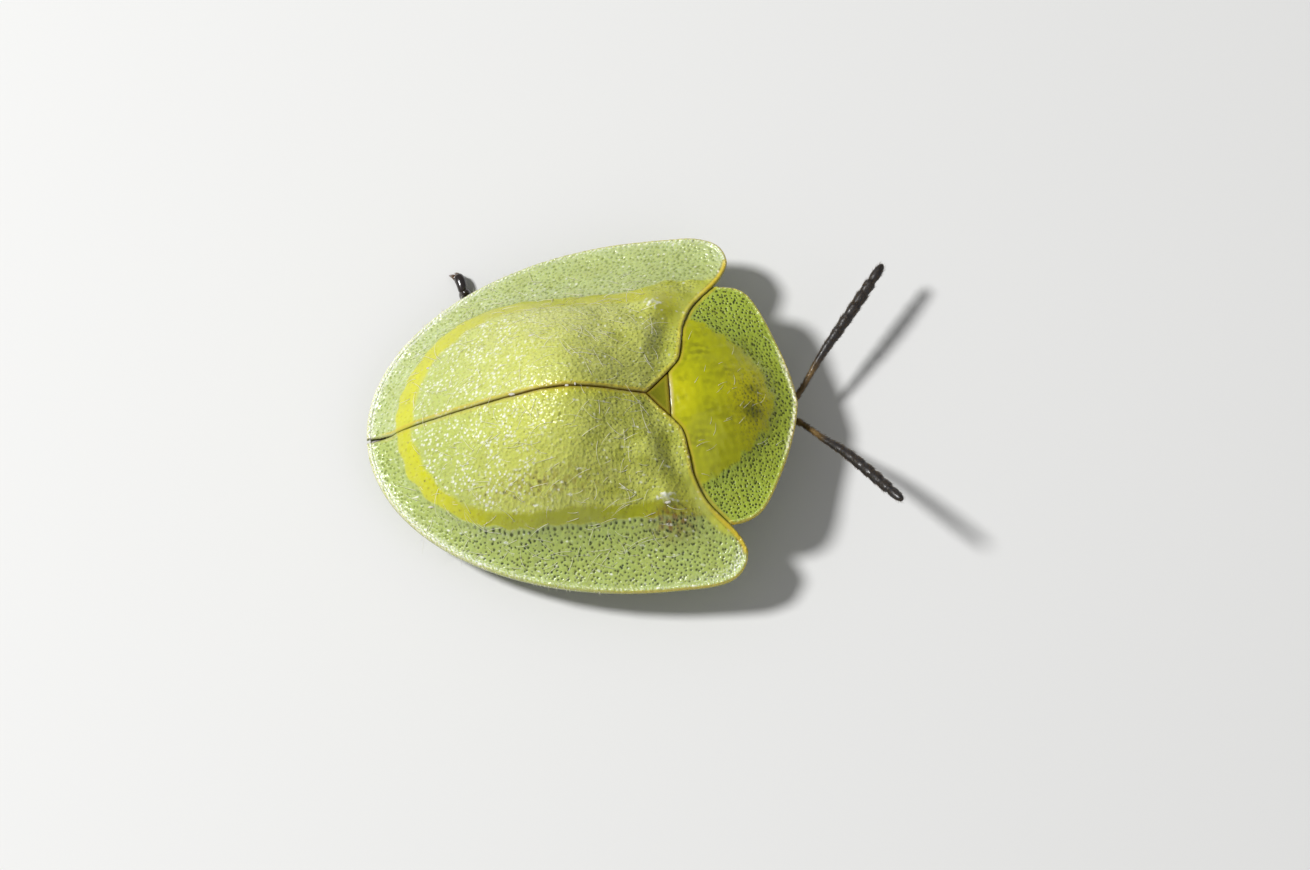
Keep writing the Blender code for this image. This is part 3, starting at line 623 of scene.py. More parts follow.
def buildShellPattern():
    inputs = [("Base", "colour")]
    for layer in shellLayers:
        inputs += [(layer, "value"), (layer + " Colour", "colour")]
    outputs = [("Colour", "colour"), ("Roughness", "value"), ("Coat", "value")]
    tree, given, result = addGroup("shellPattern", inputs, outputs)
    colour = given.outputs["Base"]
    for layer in shellLayers:
        colour = addColourMix(tree, colour, given.outputs[layer + " Colour"], given.outputs[layer])
    tree.links.new(colour, result.inputs["Colour"])
    rough = addMaths(tree, "MULTIPLY", given.outputs["Pit"], 0.3)
    rough = addMaths(tree, "ADD", rough, 0.26)
    tree.links.new(rough, result.inputs["Roughness"])
    bare = addMaths(tree, "SUBTRACT", 1.0, given.outputs["Pit"])
    tree.links.new(addMaths(tree, "MULTIPLY", bare, 0.12), result.inputs["Coat"])
    return tree


mottle = buildMottle()
hornGrain = buildHornGrain()
glintBowls = buildBowls()
shellPattern = buildShellPattern()

# Colours are linear red, green, blue
shellColours = {
    "wing": {
        "Base": (0.41, 0.51, 0.11), "Disc Colour": (0.60, 0.64, 0.12),
        # The second colour on the next line is also the painted shade of the wing cases
        "Band Colour": (0.62, 0.62, 0.006), "Dark_and_shade Colour": (0.33, 0.36, 0.004),
        "Stain Colour": (0.25, 0.14, 0.006), "Pit Colour": (0.015, 0.03, 0.004),
        # The whitish colour below serves both real scuffs and painted highlights
        "Scuff_and_glint Colour": (0.92, 0.94, 0.84), "Amber Colour": (0.66, 0.48, 0.025),
        "Edge Colour": (0.17, 0.072, 0.005),
    },
    "nose": {
        "Base": (0.38, 0.48, 0.06), "Disc Colour": (0.48, 0.50, 0.004),
        "Band Colour": (0.66, 0.61, 0.004), "Dark_and_shade Colour": (0.016, 0.016, 0.003),
        "Stain Colour": (0.22, 0.22, 0.004), "Pit Colour": (0.01, 0.018, 0.003),
        "Scuff_and_glint Colour": (0.9, 0.86, 0.68), "Amber Colour": (0.66, 0.48, 0.05),
        "Edge Colour": (0.17, 0.075, 0.006),
    },
}


# Scales are cells for each metre, and the depths and the reach of light inside are millimetres
shellSurface = {
    "cloudScale": 1500.0, "cloudAmount": 0.28, "cloudShade": 0.66,
    "grainScale": 9000.0, "grainStrength": 0.3, "grainDepth": 0.006,
    "bowlScale": 8500.0, "bowlDepth": 0.028,
    "insideLight": 0.3, "insideReach": 0.3, "insideColour": (0.8, 0.9, 0.2),
}


# Shell: painted masks, a cloudy variation, fine grain and bowls, light that spreads inside the horn, and
# a glossy coat
def buildShellFinish(name, colours):
    finish, tree, shader = newFinish(name)
    masks = {layer: addMask(tree, layer.lower()) for layer in shellLayers}
    pattern = useGroup(tree, shellPattern, {**colours, **masks})
    place = addObjectPlace(tree)
    darker = tuple(shellSurface["cloudShade"] * c for c in colours["Disc Colour"])
    clouds = useGroup(tree, mottle, {
        "Place": place, "Colour": pattern.outputs["Colour"], "Other": darker,
        "Amount": shellSurface["cloudAmount"], "Scale": shellSurface["cloudScale"]})
    grain = useGroup(tree, hornGrain, {"Place": place, "Scale": shellSurface["grainScale"]})
    bowls = useGroup(tree, glintBowls, {
        "Place": place, "Scale": shellSurface["bowlScale"], "Share": addMask(tree, "bowls")})
    tree.links.new(clouds.outputs["Colour"], shader.inputs["Base Color"])
    tree.links.new(pattern.outputs["Roughness"], shader.inputs["Roughness"])
    tree.links.new(pattern.outputs["Coat"], shader.inputs["Coat Weight"])
    fine = tree.nodes.new("ShaderNodeBump")
    fine.inputs["Strength"].default_value = shellSurface["grainStrength"]
    fine.inputs["Distance"].default_value = shellSurface["grainDepth"] * mm
    tree.links.new(grain.outputs["Height"], fine.inputs["Height"])
    relief = tree.nodes.new("ShaderNodeBump")
    relief.inputs["Distance"].default_value = shellSurface["bowlDepth"] * mm
    tree.links.new(bowls.outputs["Height"], relief.inputs["Height"])
    tree.links.new(fine.outputs["Normal"], relief.inputs["Normal"])
    tree.links.new(relief.outputs["Normal"], shader.inputs["Normal"])
    shader.inputs["Subsurface Weight"].default_value = shellSurface["insideLight"]
    shader.inputs["Subsurface Radius"].default_value = shellSurface["insideColour"]
    shader.inputs["Subsurface Scale"].default_value = shellSurface["insideReach"] * mm
    shader.inputs["IOR"].default_value = 1.46
    shader.inputs["Coat Roughness"].default_value = 0.08
    return finish


# Plain horn for limbs, feelers, head and belly: cloudy between two colours, a mask for a third
def buildHornFinish(name, colour, other, tint, roughness, scale, bumpDepth, coat):
    finish, tree, shader = newFinish(name)
    place = addObjectPlace(tree)
    clouds = useGroup(tree, mottle, {
        "Place": place, "Colour": colour, "Other": other, "Amount": 0.8, "Scale": scale})
    tinted = addColourMix(tree, clouds.outputs["Colour"], tint, addMask(tree, "tint"))
    tree.links.new(tinted, shader.inputs["Base Color"])
    grain = useGroup(tree, hornGrain, {"Place": place, "Scale": 12000.0})
    relief = tree.nodes.new("ShaderNodeBump")
    relief.inputs["Strength"].default_value = 0.5
    relief.inputs["Distance"].default_value = bumpDepth * mm
    tree.links.new(grain.outputs["Height"], relief.inputs["Height"])
    tree.links.new(relief.outputs["Normal"], shader.inputs["Normal"])
    varied = addMaths(tree, "MULTIPLY", grain.outputs["Gloss"], 0.2)
    varied = addMaths(tree, "ADD", varied, roughness - 0.1)
    tree.links.new(varied, shader.inputs["Roughness"])
    shader.inputs["IOR"].default_value = 1.54
    shader.inputs["Coat Weight"].default_value = coat
    shader.inputs["Coat Roughness"].default_value = 0.1
    return finish


wingFinish = buildShellFinish("wingShell", shellColours["wing"])
noseFinish = buildShellFinish("pronotumShell", shellColours["nose"])
hairFinish = buildHornFinish(
    "paleHair", (0.95, 0.93, 0.8), (0.85, 0.8, 0.6), (0.55, 0.5, 0.3),
    roughness=0.4, scale=3000.0, bumpDepth=0.001, coat=0.0)
legFinish = buildHornFinish(
    "blackHorn", (0.010, 0.010, 0.014), (0.02, 0.014, 0.01), (0.09, 0.04, 0.012),
    roughness=0.24, scale=2500.0, bumpDepth=0.004, coat=0.5)
feelerFinish = buildHornFinish(
    "feelerHorn", (0.014, 0.012, 0.013), (0.03, 0.024, 0.022), (0.20, 0.12, 0.035),
    roughness=0.42, scale=4000.0, bumpDepth=0.012, coat=0.1)
bellyFinish = buildHornFinish(
    "bellyHorn", (0.05, 0.034, 0.014), (0.10, 0.075, 0.025), (0.30, 0.26, 0.06),
    roughness=0.38, scale=1300.0, bumpDepth=0.006, coat=0.2)
headFinish = buildHornFinish(
    "headHorn", (0.20, 0.13, 0.03), (0.30, 0.22, 0.05), (0.05, 0.03, 0.012),
    roughness=0.38, scale=2200.0, bumpDepth=0.006, coat=0.2)
eyeFinish = buildHornFinish(
    "eyeHorn", (0.012, 0.012, 0.013), (0.022, 0.018, 0.016), (0.1, 0.08, 0.04),
    roughness=0.16, scale=2500.0, bumpDepth=0.001, coat=0.8)
flakeFinish = buildHornFinish(
    "drySkin", (0.72, 0.70, 0.62), (0.5, 0.46, 0.36), (0.3, 0.25, 0.15),
    roughness=0.5, scale=6000.0, bumpDepth=0.02, coat=0.0)
print("finishes ready")


# Wing cases
wingCase = {
    "rows": 417, "columns": 201, "coarse": 4,
    "seamGap": 0.014, "tailGap": 0.045, "tailGapLength": 1.0,  # half widths of the slit
    "baseGap": 0.006, "thickness": 0.14,
    "beadRadius": 0.07, "beadHeight": 0.05,
    "pitSpacing": 0.145, "pitRadius": 0.046, "pitDepth": 0.022, "sparkSpacing": 0.125,
    "rowSpacing": 0.2, "rowOffset": 0.1,
    "wrinkles": 75,  # waves along the front edge, radians for each millimetre
    "bandInner": 0.865, "bandOuter": 0.985,  # shares of the disc
    "discScale": 3.9,  # millimetres for one unit of disc
    "hairCount": 190, "hairThick": 0.0105, "bristleCount": 34, "bristleThick": 0.009,
    # centre and size of each marked place
    "corner": ((9.95, 3.3), (0.42, 0.75)), "knob": ((9.5, 3.28), (0.26, 0.16)),
    "gravel": ((11.2, 5.1), (1.1, 0.5)), "humpEase": ((6.2, 0), (1.5, 1.2)),
    "shoulderStain": ((9.7, 3.9), (0.68, 0.45)), "flankStain": ((5.6, 2.7), (2.0, 0.4)),
}


# Evenly spaced places along the rim, as shares of the shoulder's x, closer together at the very front
def rimShares(rows):
    x = shield["shoulderX"] * (1 - np.cos(np.linspace(0, np.pi, 3000))) / 2
    y = halfWidthAt(x)
    travelled = np.concatenate([[0], np.cumsum(np.hypot(np.diff(x), np.diff(y)))]) / shield["shoulderX"]
    steps = np.concatenate([np.linspace(0, 0.992, rows - 5), [0.9945, 0.9965, 0.998, 0.9992, 1.0]])
    return np.interp(steps * travelled[-1], travelled, x) / shield["shoulderX"]


# Plan of a wing case: a patch between seam, rim and front edge. Each point is the seam-to-rim blend plus
# the tail-to-front blend, less the blend of the corners (a Coons patch)
def wingPlan():
    along = rimShares(wingCase["rows"])[:, None]
    fine = 1 - np.array([0.0172, 0.0138, 0.0104, 0.007, 0.0035, 0.0])
    across = np.concatenate([np.linspace(0, 0.979, wingCase["columns"] - 6), fine])[None, :]
    seamY = wingCase["seamGap"]
    rimX = shield["shoulderX"] * along
    rimY = np.maximum(halfWidthAt(rimX), seamY)
    frontY = seamY + (shield["shoulderY"] - seamY) * across
    frontX = wingFrontX(frontY) - wingCase["baseGap"]
    frontX = frontX + (shield["shoulderX"] - frontX[0, -1]) * smooth((across - 0.8) / 0.2)
    seamX = frontX[0, 0]
    chordX = (1 - across) * seamX + across * shield["shoulderX"]
    chordY = (1 - across) * seamY + across * shield["shoulderY"]
    x = (1 - across) * seamX * along + across * rimX + along * (frontX - chordX)
    y = (1 - across) * seamY + across * rimY + along * (frontY - chordY)
    opening = wingCase["tailGap"] * (1 - smooth(x / wingCase["tailGapLength"]))
    return x, np.maximum(y, seamY + opening * (rimY > seamY + opening))


# A row of larger punctures just outside the disc, a spacing apart along x. Gives their bowls, and how
# far they take the place of the loose ones
def rowOfPits(x, outside):
    shown = smooth((x - 2.2) / 1.5) * (1 - smooth((x - 9.0) / 0.8))
    along = (x + 0.03 * np.sin(9 * x)) / wingCase["rowSpacing"]
    along = np.abs(along % 1 - 0.5) * wingCase["rowSpacing"]
    bowl = 1 - smooth((np.hypot(along, outside * 0.9) / 0.065 - 0.35) / 0.65)
    return bowl * shown, np.exp(-(outside / 0.1) ** 2) * shown


# Painted highlights: fine white glint dots of random size at loose places over the tail half
def sparkles(x, y, seed):
    nearest, _, luck = punctures(x, y, wingCase["sparkSpacing"], seed + 20, 1.0)
    return (1 - smooth((nearest - 0.03 * luck) / 0.02)) * (luck > 0.3) * smooth((6.5 - x) / 2)


# Brown stains on the right side, by the shoulder and on the flank, and fine brown specks on both
def stains(x, y, left, onDisc, blotchy, seed):
    speck = smooth((ripple(x, y, 0.16, seed + 4) - 1.35) / 0.4)
    shoulder = 1.2 * (1 - left) * bump(x, y, *wingCase["shoulderStain"]) * (0.35 + 0.65 * blotchy)
    flank = 0.5 * (1 - left) * bump(x, y, *wingCase["flankStain"]) * blotchy
    return shoulder + 0.3 * speck * onDisc + flank


# Amber lines along the rim, the front edge and the seam, as bell-shaped bands of the distance to each
def amberEdges(x, toRim, toFront, toSeam, lobe, left):
    rim = np.exp(-(toRim / 0.045) ** 2) * (0.3 + 0.7 * smooth((x - 6) / 3))
    front = np.exp(-((toFront - 0.08) / 0.075) ** 4) * (0.4 + 0.6 * lobe)
    seam = (0.35 + 0.45 * left) * np.exp(-((toSeam - 0.09) / 0.035) ** 2) * smooth((x - 0.3) / 0.5)
    return np.maximum(np.maximum(rim, front), seam) * 0.9


# Dark lines: the front edge, a wrinkled line behind it on the shoulder lobe, and the seam
def darkEdges(x, y, toFront, toSeam, tailward, lobe):
    wrinkled = 0.6 + 0.4 * np.sin(y * wingCase["wrinkles"] + 1)
    crease = 0.95 * np.exp(-(toFront / 0.034) ** 2) * (1 - 0.3 * lobe)
    crease = crease + 0.75 * wrinkled * np.exp(-((toFront - 0.17) / 0.022) ** 2) * lobe
    seam = np.exp(-(toSeam / (0.045 + 0.02 * bump(x, 0 * y, (6.3, 0), (1.5, 1)))) ** 2)
    return np.maximum(seam * (1 - 0.5 * tailward), crease) * 0.92


# Height of the punctured, beaded shell and the masks that colour it
def wingRelief(x, y, side, seed):
    left = float(side > 0)
    toRim = distanceTo(x, y, x[::4, -1], y[::4, -1])
    toFront = distanceTo(x, y, x[-1, ::3], y[-1, ::3])
    toSeam = y - y[:, :1]
    disc = wingDisc(x, y)
    ahead = smooth((x - 8.6) / 1.6)
    tailward = smooth((5.5 - x) / 4)
    lobe = smooth((y - 3.3) / 0.8)

    # The yellow band lies between two shares of the disc's radius
    wander = 0.006 * ripple(x, y, 0.8, seed + 7)
    inner = wingCase["bandInner"] + 0.03 * smooth((x - 1.2) / 2.5) - 0.015 * left + wander
    outer = wingCase["bandOuter"] + left * (0.03 * smooth((x - 1.5) / 1.5) + 0.12 * ahead) + wander
    onDisc = 1 - smooth((disc - outer + 0.008) / 0.016)
    band = smooth((disc - inner + 0.02) / 0.04) * onDisc * (1 - smooth((x - 9.1) / 0.8))
    corner = bump(x, y, *wingCase["corner"]) * (0.45 + 0.55 * left) * onDisc
    flank = 0.75 * np.exp(-(toSeam / 0.28) ** 2) * smooth((x - 5.2) / 0.8) * (1 - smooth((x - 8.4) / 0.8))
    yellow = band + corner + flank * (1 - 0.4 * left)
    knob = bump(x, y, *wingCase["knob"])

    # Punctures: loose, dark and deep on the margin, finer on the disc
    nearest, gap, luck = punctures(x, side * y, wingCase["pitSpacing"], seed, 0.9)
    bare = np.clip(np.maximum(band, corner) + smooth((0.12 - toSeam) / 0.1) + knob, 0, 1)
    size = wingCase["pitRadius"] * (0.6 + 0.75 * luck) * (1 - 0.3 * onDisc)
    besideBase = np.exp(-((toFront - 0.2) / 0.2) ** 4)
    besideBase = besideBase * smooth((y - 2.2) / 0.5) * (1 - smooth((y - 4.1) / 0.4))
    bare = np.clip(bare + besideBase, 0, 1)
    pit = pitShape(nearest, size) * (1 - bare) * smooth((toRim - 0.14) / 0.12)
    rowPit, inRow = rowOfPits(x, (disc - outer) * wingCase["discScale"] - wingCase["rowOffset"])
    pit = np.maximum(pit * (1 - inRow), rowPit)
    # Painted shade in the pits: darkest on the right margin and the front of the disc, faint at the tail
    # and on the left margin, which are lit
    pitShade = (0.3 + 0.7 * smooth((x - 1.5) / 2.5)) * (1 - 0.62 * left * (1 - onDisc))
    pitShade = pitShade * (1 - onDisc * (0.8 - 0.55 * smooth((x - 5.5) / 3)))
    net = (1 - smooth(gap / 0.05)) * (1 - bare) * smooth((toRim - 0.1) / 0.1)
    yellow = np.clip(yellow + 0.8 * besideBase * (1 - onDisc), 0, 1)

    # Relief: a beaded rim, a raised front edge, rounded seam edges, pits and slight unevenness
    bead = rimBead(toRim, wingCase["beadRadius"], wingCase["beadHeight"])
    gravel = 0.1 + (1 - 0.85 * left) * bump(x, y, *wingCase["gravel"])
    gravel = gravel * smooth((0.55 - toRim) / 0.4) * smooth((toRim - 0.1) / 0.1)
    carina = (0.03 + 0.035 * lobe) * np.exp(-((toFront - 0.07) / (0.045 + 0.02 * lobe)) ** 2)
    carina = carina * (1 + 0.2 * np.sin(y * wingCase["wrinkles"]))
    height = wingDome(x, y) + bead * (1 + 0.3 * ripple(x, y, 0.15, seed + 5)) + carina
    rounding = 0.05 * np.exp(-toRim / 0.018) + 0.04 * np.exp(-toSeam / 0.02)
    height -= rounding + 0.018 * np.exp(-toFront / 0.012)
    height -= wingCase["pitDepth"] * pit * (1.5 - 0.5 * onDisc)
    height += 0.004 * net + 0.012 * ripple(x, y, 1.1, seed + 1) + 0.004 * ripple(x, y, 0.33, seed + 2)
    height += 0.06 * knob * (1 + 0.4 * ripple(x, y, 0.2, seed + 22))
    height -= 0.03 * np.exp(-((disc - outer - 0.02) / 0.03) ** 2)
    height += 0.022 * gravel * ripple(x, y, 0.11, seed + 8) - 0.04 * bump(x, y, *wingCase["humpEase"])

    # Colour masks
    blotchy = smooth(0.5 + 0.6 * ripple(x, y, 0.28, seed + 3) - 0.1)
    stain = stains(x, y, left, onDisc, blotchy, seed)
    # Painted highlights: white glints along the beaded rim, in patches, strongest at the tail and on the
    # left, which face the light; the whitish scuffs on the shoulder knob are real
    rimGlintPatches = smooth(0.4 + 0.7 * ripple(x, y, 0.09, seed + 6) + 0.5 * tailward)
    scuff_and_glint = np.exp(-((toRim - 0.09) / (0.06 + 0.05 * tailward)) ** 2) * rimGlintPatches
    scuff = smooth((knob - 0.4 + 0.25 * ripple(x, y, 0.2, seed + 22)) / 0.25)
    scuff_and_glint = scuff_and_glint * (0.55 + 0.4 * tailward + 0.1 * left) + scuff * (0.4 + 0.5 * blotchy)
    # Painted highlights: white glints on the gravelly bumps near the right shoulder's corner
    scuff_and_glint = scuff_and_glint + 1.3 * gravel * smooth(0.25 + 0.8 * ripple(x, y, 0.1, seed + 9))
    # Painted highlights: the glint dots, fewer on bare places and patchy
    glintDots = sparkles(x, side * y, seed) * (1 - 0.8 * bare)
    glintDots = glintDots * smooth(0.75 + 0.5 * ripple(x, y, 0.9, seed + 21))
    # Painted light: the margin whitened more on the left, the tail whitened, and the disc whitened on the
    # left away from the front, where light falls
    scuff_and_glint = scuff_and_glint + (0.05 + 0.14 * left) * (1 - onDisc) + 0.03 * tailward + glintDots * (0.2 + 0.75 * onDisc)
    scuff_and_glint = scuff_and_glint + (0.02 + 0.045 * left) * onDisc * (1 - ahead)
    # Painted shade: the disc darkened towards the front, which faces away from the light, and the yellow
    # band darkened, most on the right side
    front = smooth((x - 5.8) / 2.4)
    dark_and_shade = front * (0.26 + 0.2 * ripple(x, y, 0.9, seed + 10)) * onDisc
    spots = smooth((ripple(x, y, 0.22, seed + 12) - 0.9) / 0.3) * smooth(stain / 0.5) * (1 - left)
    masks = {
        "disc": onDisc * (1 - 0.7 * tailward),
        "band": yellow * 0.97,
        "dark_and_shade": dark_and_shade * (1 - 0.7 * yellow) + (0.8 - 0.5 * left) * band * smooth((x - 2.0) / 2.6),
        "stain": stain,
        "pit": np.maximum(pit * pitShade, 0.7 * spots),
        "scuff_and_glint": scuff_and_glint * (1 - 0.8 * pit) * (1 - 0.8 * band),
        "amber": amberEdges(x, toRim, toFront, toSeam, lobe, left),
        "edge": darkEdges(x, y, toFront, toSeam, tailward, lobe),
        "bowls": (1 - bare) * (0.35 + 0.65 * onDisc),
    }
    return height, masks


# A wing case: its relief above, and below it a plain sheet at the thickness, with a low ridge along the
# edge of the disc
def buildWingCase(sideName, side):
    seed = 11 if side > 0 else 29
    x, y = wingPlan()
    height, masks = wingRelief(x, y, side, seed)
    coarse = wingCase["coarse"]
    lowX = x[::coarse, ::coarse]
    lowY = y[::coarse, ::coarse]
    toRim = distanceTo(lowX, lowY, x[::4, -1], y[::4, -1])
    thick = wingCase["thickness"] * steepness(wingDome, lowX, lowY) + 0.03 * np.exp(-(toRim / 0.1) ** 2)
    outside = (wingDisc(lowX, lowY) - 1.0) * wingCase["discScale"]
    fold = 0.1 * np.exp(-(outside / 0.16) ** 2) * smooth((lowX - 0.8) / 1.0)
    low = wingDome(lowX, lowY) - thick - fold
    upper = np.stack([x, side * y, height], axis=-1)
    lower = np.stack([lowX, side * lowY, low], axis=-1)
    surface = closePlate(upper, lower, coarse, side < 0)
    full = aboveLower(masks, lowX.size)
    full["disc"][-lowX.size:] = masks["disc"][::coarse, ::coarse].ravel()
    surface, full = weld(surface, full)
    makePiece(f"wingCase_{sideName}", surface, full, wingFinish, [f"elytron_{sideName}"])


buildWingCase("left", 1)
buildWingCase("right", -1)


# Pronotum
nosePlate = {
    "rows": 341, "columns": 161, "coarse": 4, "gap": 0.005, "thickness": 0.14,
    "pitSpacing": 0.125, "pitRadius": 0.043, "pitDepth": 0.03,
    "beadRadius": 0.06, "beadHeight": 0.045, "hairCount": 32, "hairThick": 0.009,
    "discShare": 0.965,  # where the yellow disc ends
    "discScale": 3.1,  # millimetres for one unit of disc
    # x, y, length, width and strength of the two dark blotches
    "blotches": [(12.52, 0.21, 0.2, 0.16, 0.7), (12.46, -0.5, 0.25, 0.18, 1.6)],
}


# Height of the pronotum and the masks that colour it: the dome with a bead, punctures outside the disc
# and slight unevenness, a gold glow, two dark blotches and a painted highlight along the rim
def noseRelief(x, y):
    toRim = distanceTo(x, y, x[::3, -1], y[::3, -1])
    toBack = distanceTo(x, y, x[::3, 0], y[::3, 0])
    outside = (noseDisc(x, y) - nosePlate["discShare"]) * nosePlate["discScale"]
    onDisc = 1 - smooth((outside + 0.12 + 0.05 * ripple(x, y, 0.5, 47)) / 0.2)
    nearest, gap, luck = punctures(x, y, nosePlate["pitSpacing"], 41, 0.9)
    size = nosePlate["pitRadius"] * (0.65 + 0.7 * luck)
    clear = smooth((toRim - 0.1) / 0.08) * smooth((toBack - 0.1) / 0.1)
    dotted = np.maximum(1 - onDisc, 0.85 * bump(x, y, (12.5, -0.15), (0.55, 1.1)))
    pit = pitShape(nearest, size) * dotted * clear
    net = (1 - smooth(gap / 0.04)) * (1 - onDisc) * clear
    bead = rimBead(toRim, nosePlate["beadRadius"], nosePlate["beadHeight"])
    crinkle = smooth((0.26 - toRim) / 0.16) * smooth((2.2 - np.abs(y)) / 0.8) * smooth((x - 12) / 0.5)
    height = noseTop(x, y) + bead * (1 + 0.3 * ripple(x, y, 0.16, 43))
    height -= 0.045 * np.exp(-toRim / 0.018) + 0.022 * np.exp(-toBack / 0.015)
    height -= nosePlate["pitDepth"] * pit
    height += 0.005 * net + 0.012 * ripple(x, y, 1.2, 44) + 0.004 * ripple(x, y, 0.3, 45)
    height += 0.02 * crinkle * ripple(x, y, 0.13, 50)
    blotch = 0 * x
    halo = 0 * x
    for spotX, spotY, long, wide, strength in nosePlate["blotches"]:
        blotch = blotch + strength * bump(x, y, (spotX, spotY), (long, wide))
        halo = halo + 0.45 * strength * bump(x, y, (spotX, spotY), (1.6 * long, 1.7 * wide))
    faint = bump(x, np.abs(y), (10.75, 1.5), (0.35, 0.5))
    faint = faint + 0.8 * bump(x, np.abs(y), (11.6, 0.7), (0.5, 0.25))
    glow = bump(x, y, (12.45, -0.1), (0.8, 1.2)) + 0.6 * bump(x, y, (10.3, 0), (0.5, 0.9))
    cloud = 0.3 * smooth(0.8 * ripple(x, y, 0.8, 53) - 0.1) * smooth((12.4 - x) / 1.2)
    middle = smooth((2.0 - np.abs(y)) / 0.8)
    # Painted highlight: a pale line along the front rim, widest and brightest across the middle
    rimHighlight = np.exp(-((toRim - 0.06) / (0.05 + 0.025 * middle)) ** 2) * (0.15 + 0.85 * middle)
    mealy = smooth(0.6 + 0.5 * ripple(x, y, 0.25, 51))
    chips = 0.45 * crinkle * smooth(ripple(x, y, 0.11, 49))
    # Painted highlight: a thin white line across the middle of the hind edge, in front of the scutellum
    glint = 0.8 * bump(x, y, (9.9, 0), (0.05, 0.5))
    # Painted shade: dark patches on the crinkled front border, where shade beneath shows through the thin
    # horn
    bare = crinkle * smooth(1.2 * ripple(x, y, 0.2, 52) - 0.2) * smooth((toRim - 0.1) / 0.05)
    masks = {
        "disc": onDisc,
        "band": glow * (0.35 + 0.6 * onDisc),
        "dark_and_shade": np.clip(blotch * (0.85 + 0.3 * ripple(x, y, 0.14, 46)), 0, 0.9),
        "stain": np.clip((0.6 * faint + cloud) * onDisc * mealy + halo, 0, 0.7),
        "pit": np.maximum(pit * 0.95, 0.6 * bare),
        "scuff_and_glint": rimHighlight * (0.75 + 0.35 * ripple(x, y, 0.12, 48)) + chips + glint,
        "amber": np.exp(-(toRim / 0.045) ** 2) + 0.6 * np.exp(-((toBack - 0.08) / 0.04) ** 2),
        "edge": 0.85 * np.exp(-(toBack / 0.026) ** 2),
        "bowls": 0.25 * (1 - onDisc),
    }
    return height, masks


# Pronotum: y goes across in a blend of even and sine steps, and x goes straight from the hind edge to
# the front edge
def buildPronotum():
    turn = np.linspace(-np.pi / 2, np.pi / 2, nosePlate["rows"])
    y = shield["noseHalfWidth"] * (0.75 * np.sin(turn) + 0.25 * turn / (np.pi / 2))[:, None]
    fine = 1 - np.array([0.028, 0.021, 0.014, 0.007, 0.0])
    plain = np.linspace(0.024, 0.965, nosePlate["columns"] - 8)
    forward = np.concatenate([[0, 0.006, 0.014], plain, fine])[None, :]
    x = noseBackX(y, nosePlate["gap"]) * (1 - forward) + noseFrontX(y) * forward
    y = y + 0 * forward
    height, masks = noseRelief(x, y)
    coarse = nosePlate["coarse"]
    lowX = x[::coarse, ::coarse]
    lowY = y[::coarse, ::coarse]
    low = noseTop(lowX, lowY) - nosePlate["thickness"] * steepness(noseTop, lowX, lowY)
    upper = np.stack([x, y, height], axis=-1)
    lower = np.stack([lowX, lowY, low], axis=-1)
    surface = closePlate(upper, lower, coarse, True)
    surface, full = weld(surface, aboveLower(masks, lowX.size))
    makePiece("pronotumPlate", surface, full, noseFinish, ["pronotum"])


buildPronotum()


# Scutellum: a small triangle, gently domed across, that sits between the wing cases and the pronotum
scutellumPlate = {
    "rows": 41, "columns": 33, "coarse": 4, "gap": 0.012, "widest": 0.7, "tipWidth": 0.01,
    "thickness": 0.2, "crown": 0.03, "frontDrop": 0.06,
}


def buildScutellum():
    forward = np.linspace(0, 1, scutellumPlate["rows"])[:, None]
    across = np.linspace(-1, 1, scutellumPlate["columns"])[None, :]
    tipX = shield["scutellumTipX"] - 0.03
    x = tipX + (shield["scutellumFrontX"] - 0.01 - tipX) * forward + 0 * across
    widths = np.linspace(0, 1.2, 200)
    narrow = np.interp(x[:, :1], wingFrontX(widths), widths) - scutellumPlate["gap"]
    y = across * np.clip(narrow, scutellumPlate["tipWidth"], scutellumPlate["widest"])
    edge = np.abs(y[:, -1:]) - np.abs(y)
    top = wingDome(x, y) - 0.01 - 0.05 * np.exp(-edge / 0.03) + scutellumPlate["crown"] * (1 - across**2)
    top = top - scutellumPlate["frontDrop"] * forward**2
    coarse = scutellumPlate["coarse"]
    upper = np.stack([x, y, top], axis=-1)
    lower = (upper - [0, 0, scutellumPlate["thickness"]])[::coarse, ::coarse]
    surface = closePlate(upper, lower, coarse, False)
    toBorder = np.minimum(edge, shield["scutellumFrontX"] - x)
    painted = {
        "disc": 1.0 + 0 * x, "stain": 0.85 + 0 * x, "dark_and_shade": 0.55 + 0.3 * forward + 0 * x,
        "edge": 0.9 * np.exp(-(toBorder / 0.06) ** 2),
        "amber": 0.25 * np.exp(-((toBorder - 0.1) / 0.04) ** 2),
    }
    masks = {layer.lower(): 0 * x for layer in shellLayers}
    masks = aboveLower({**masks, "bowls": 0 * x, **painted}, lower[..., 0].size)
    makePiece("scutellumPlate", surface, masks, noseFinish, ["scutellum"])


buildScutellum()


# Seam flange: a narrow dark tongue under the slit between the wing cases, a sheet of painted shade that
# keeps the floor from showing through the slit
flange = {
    "from": 0.12, "to": 9.0, "rows": 241, "columns": 9, "coarse": 2,
    "halfWidth": 0.1, "tailWidening": 0.05, "gap": 0.05, "thickness": 0.06,
}


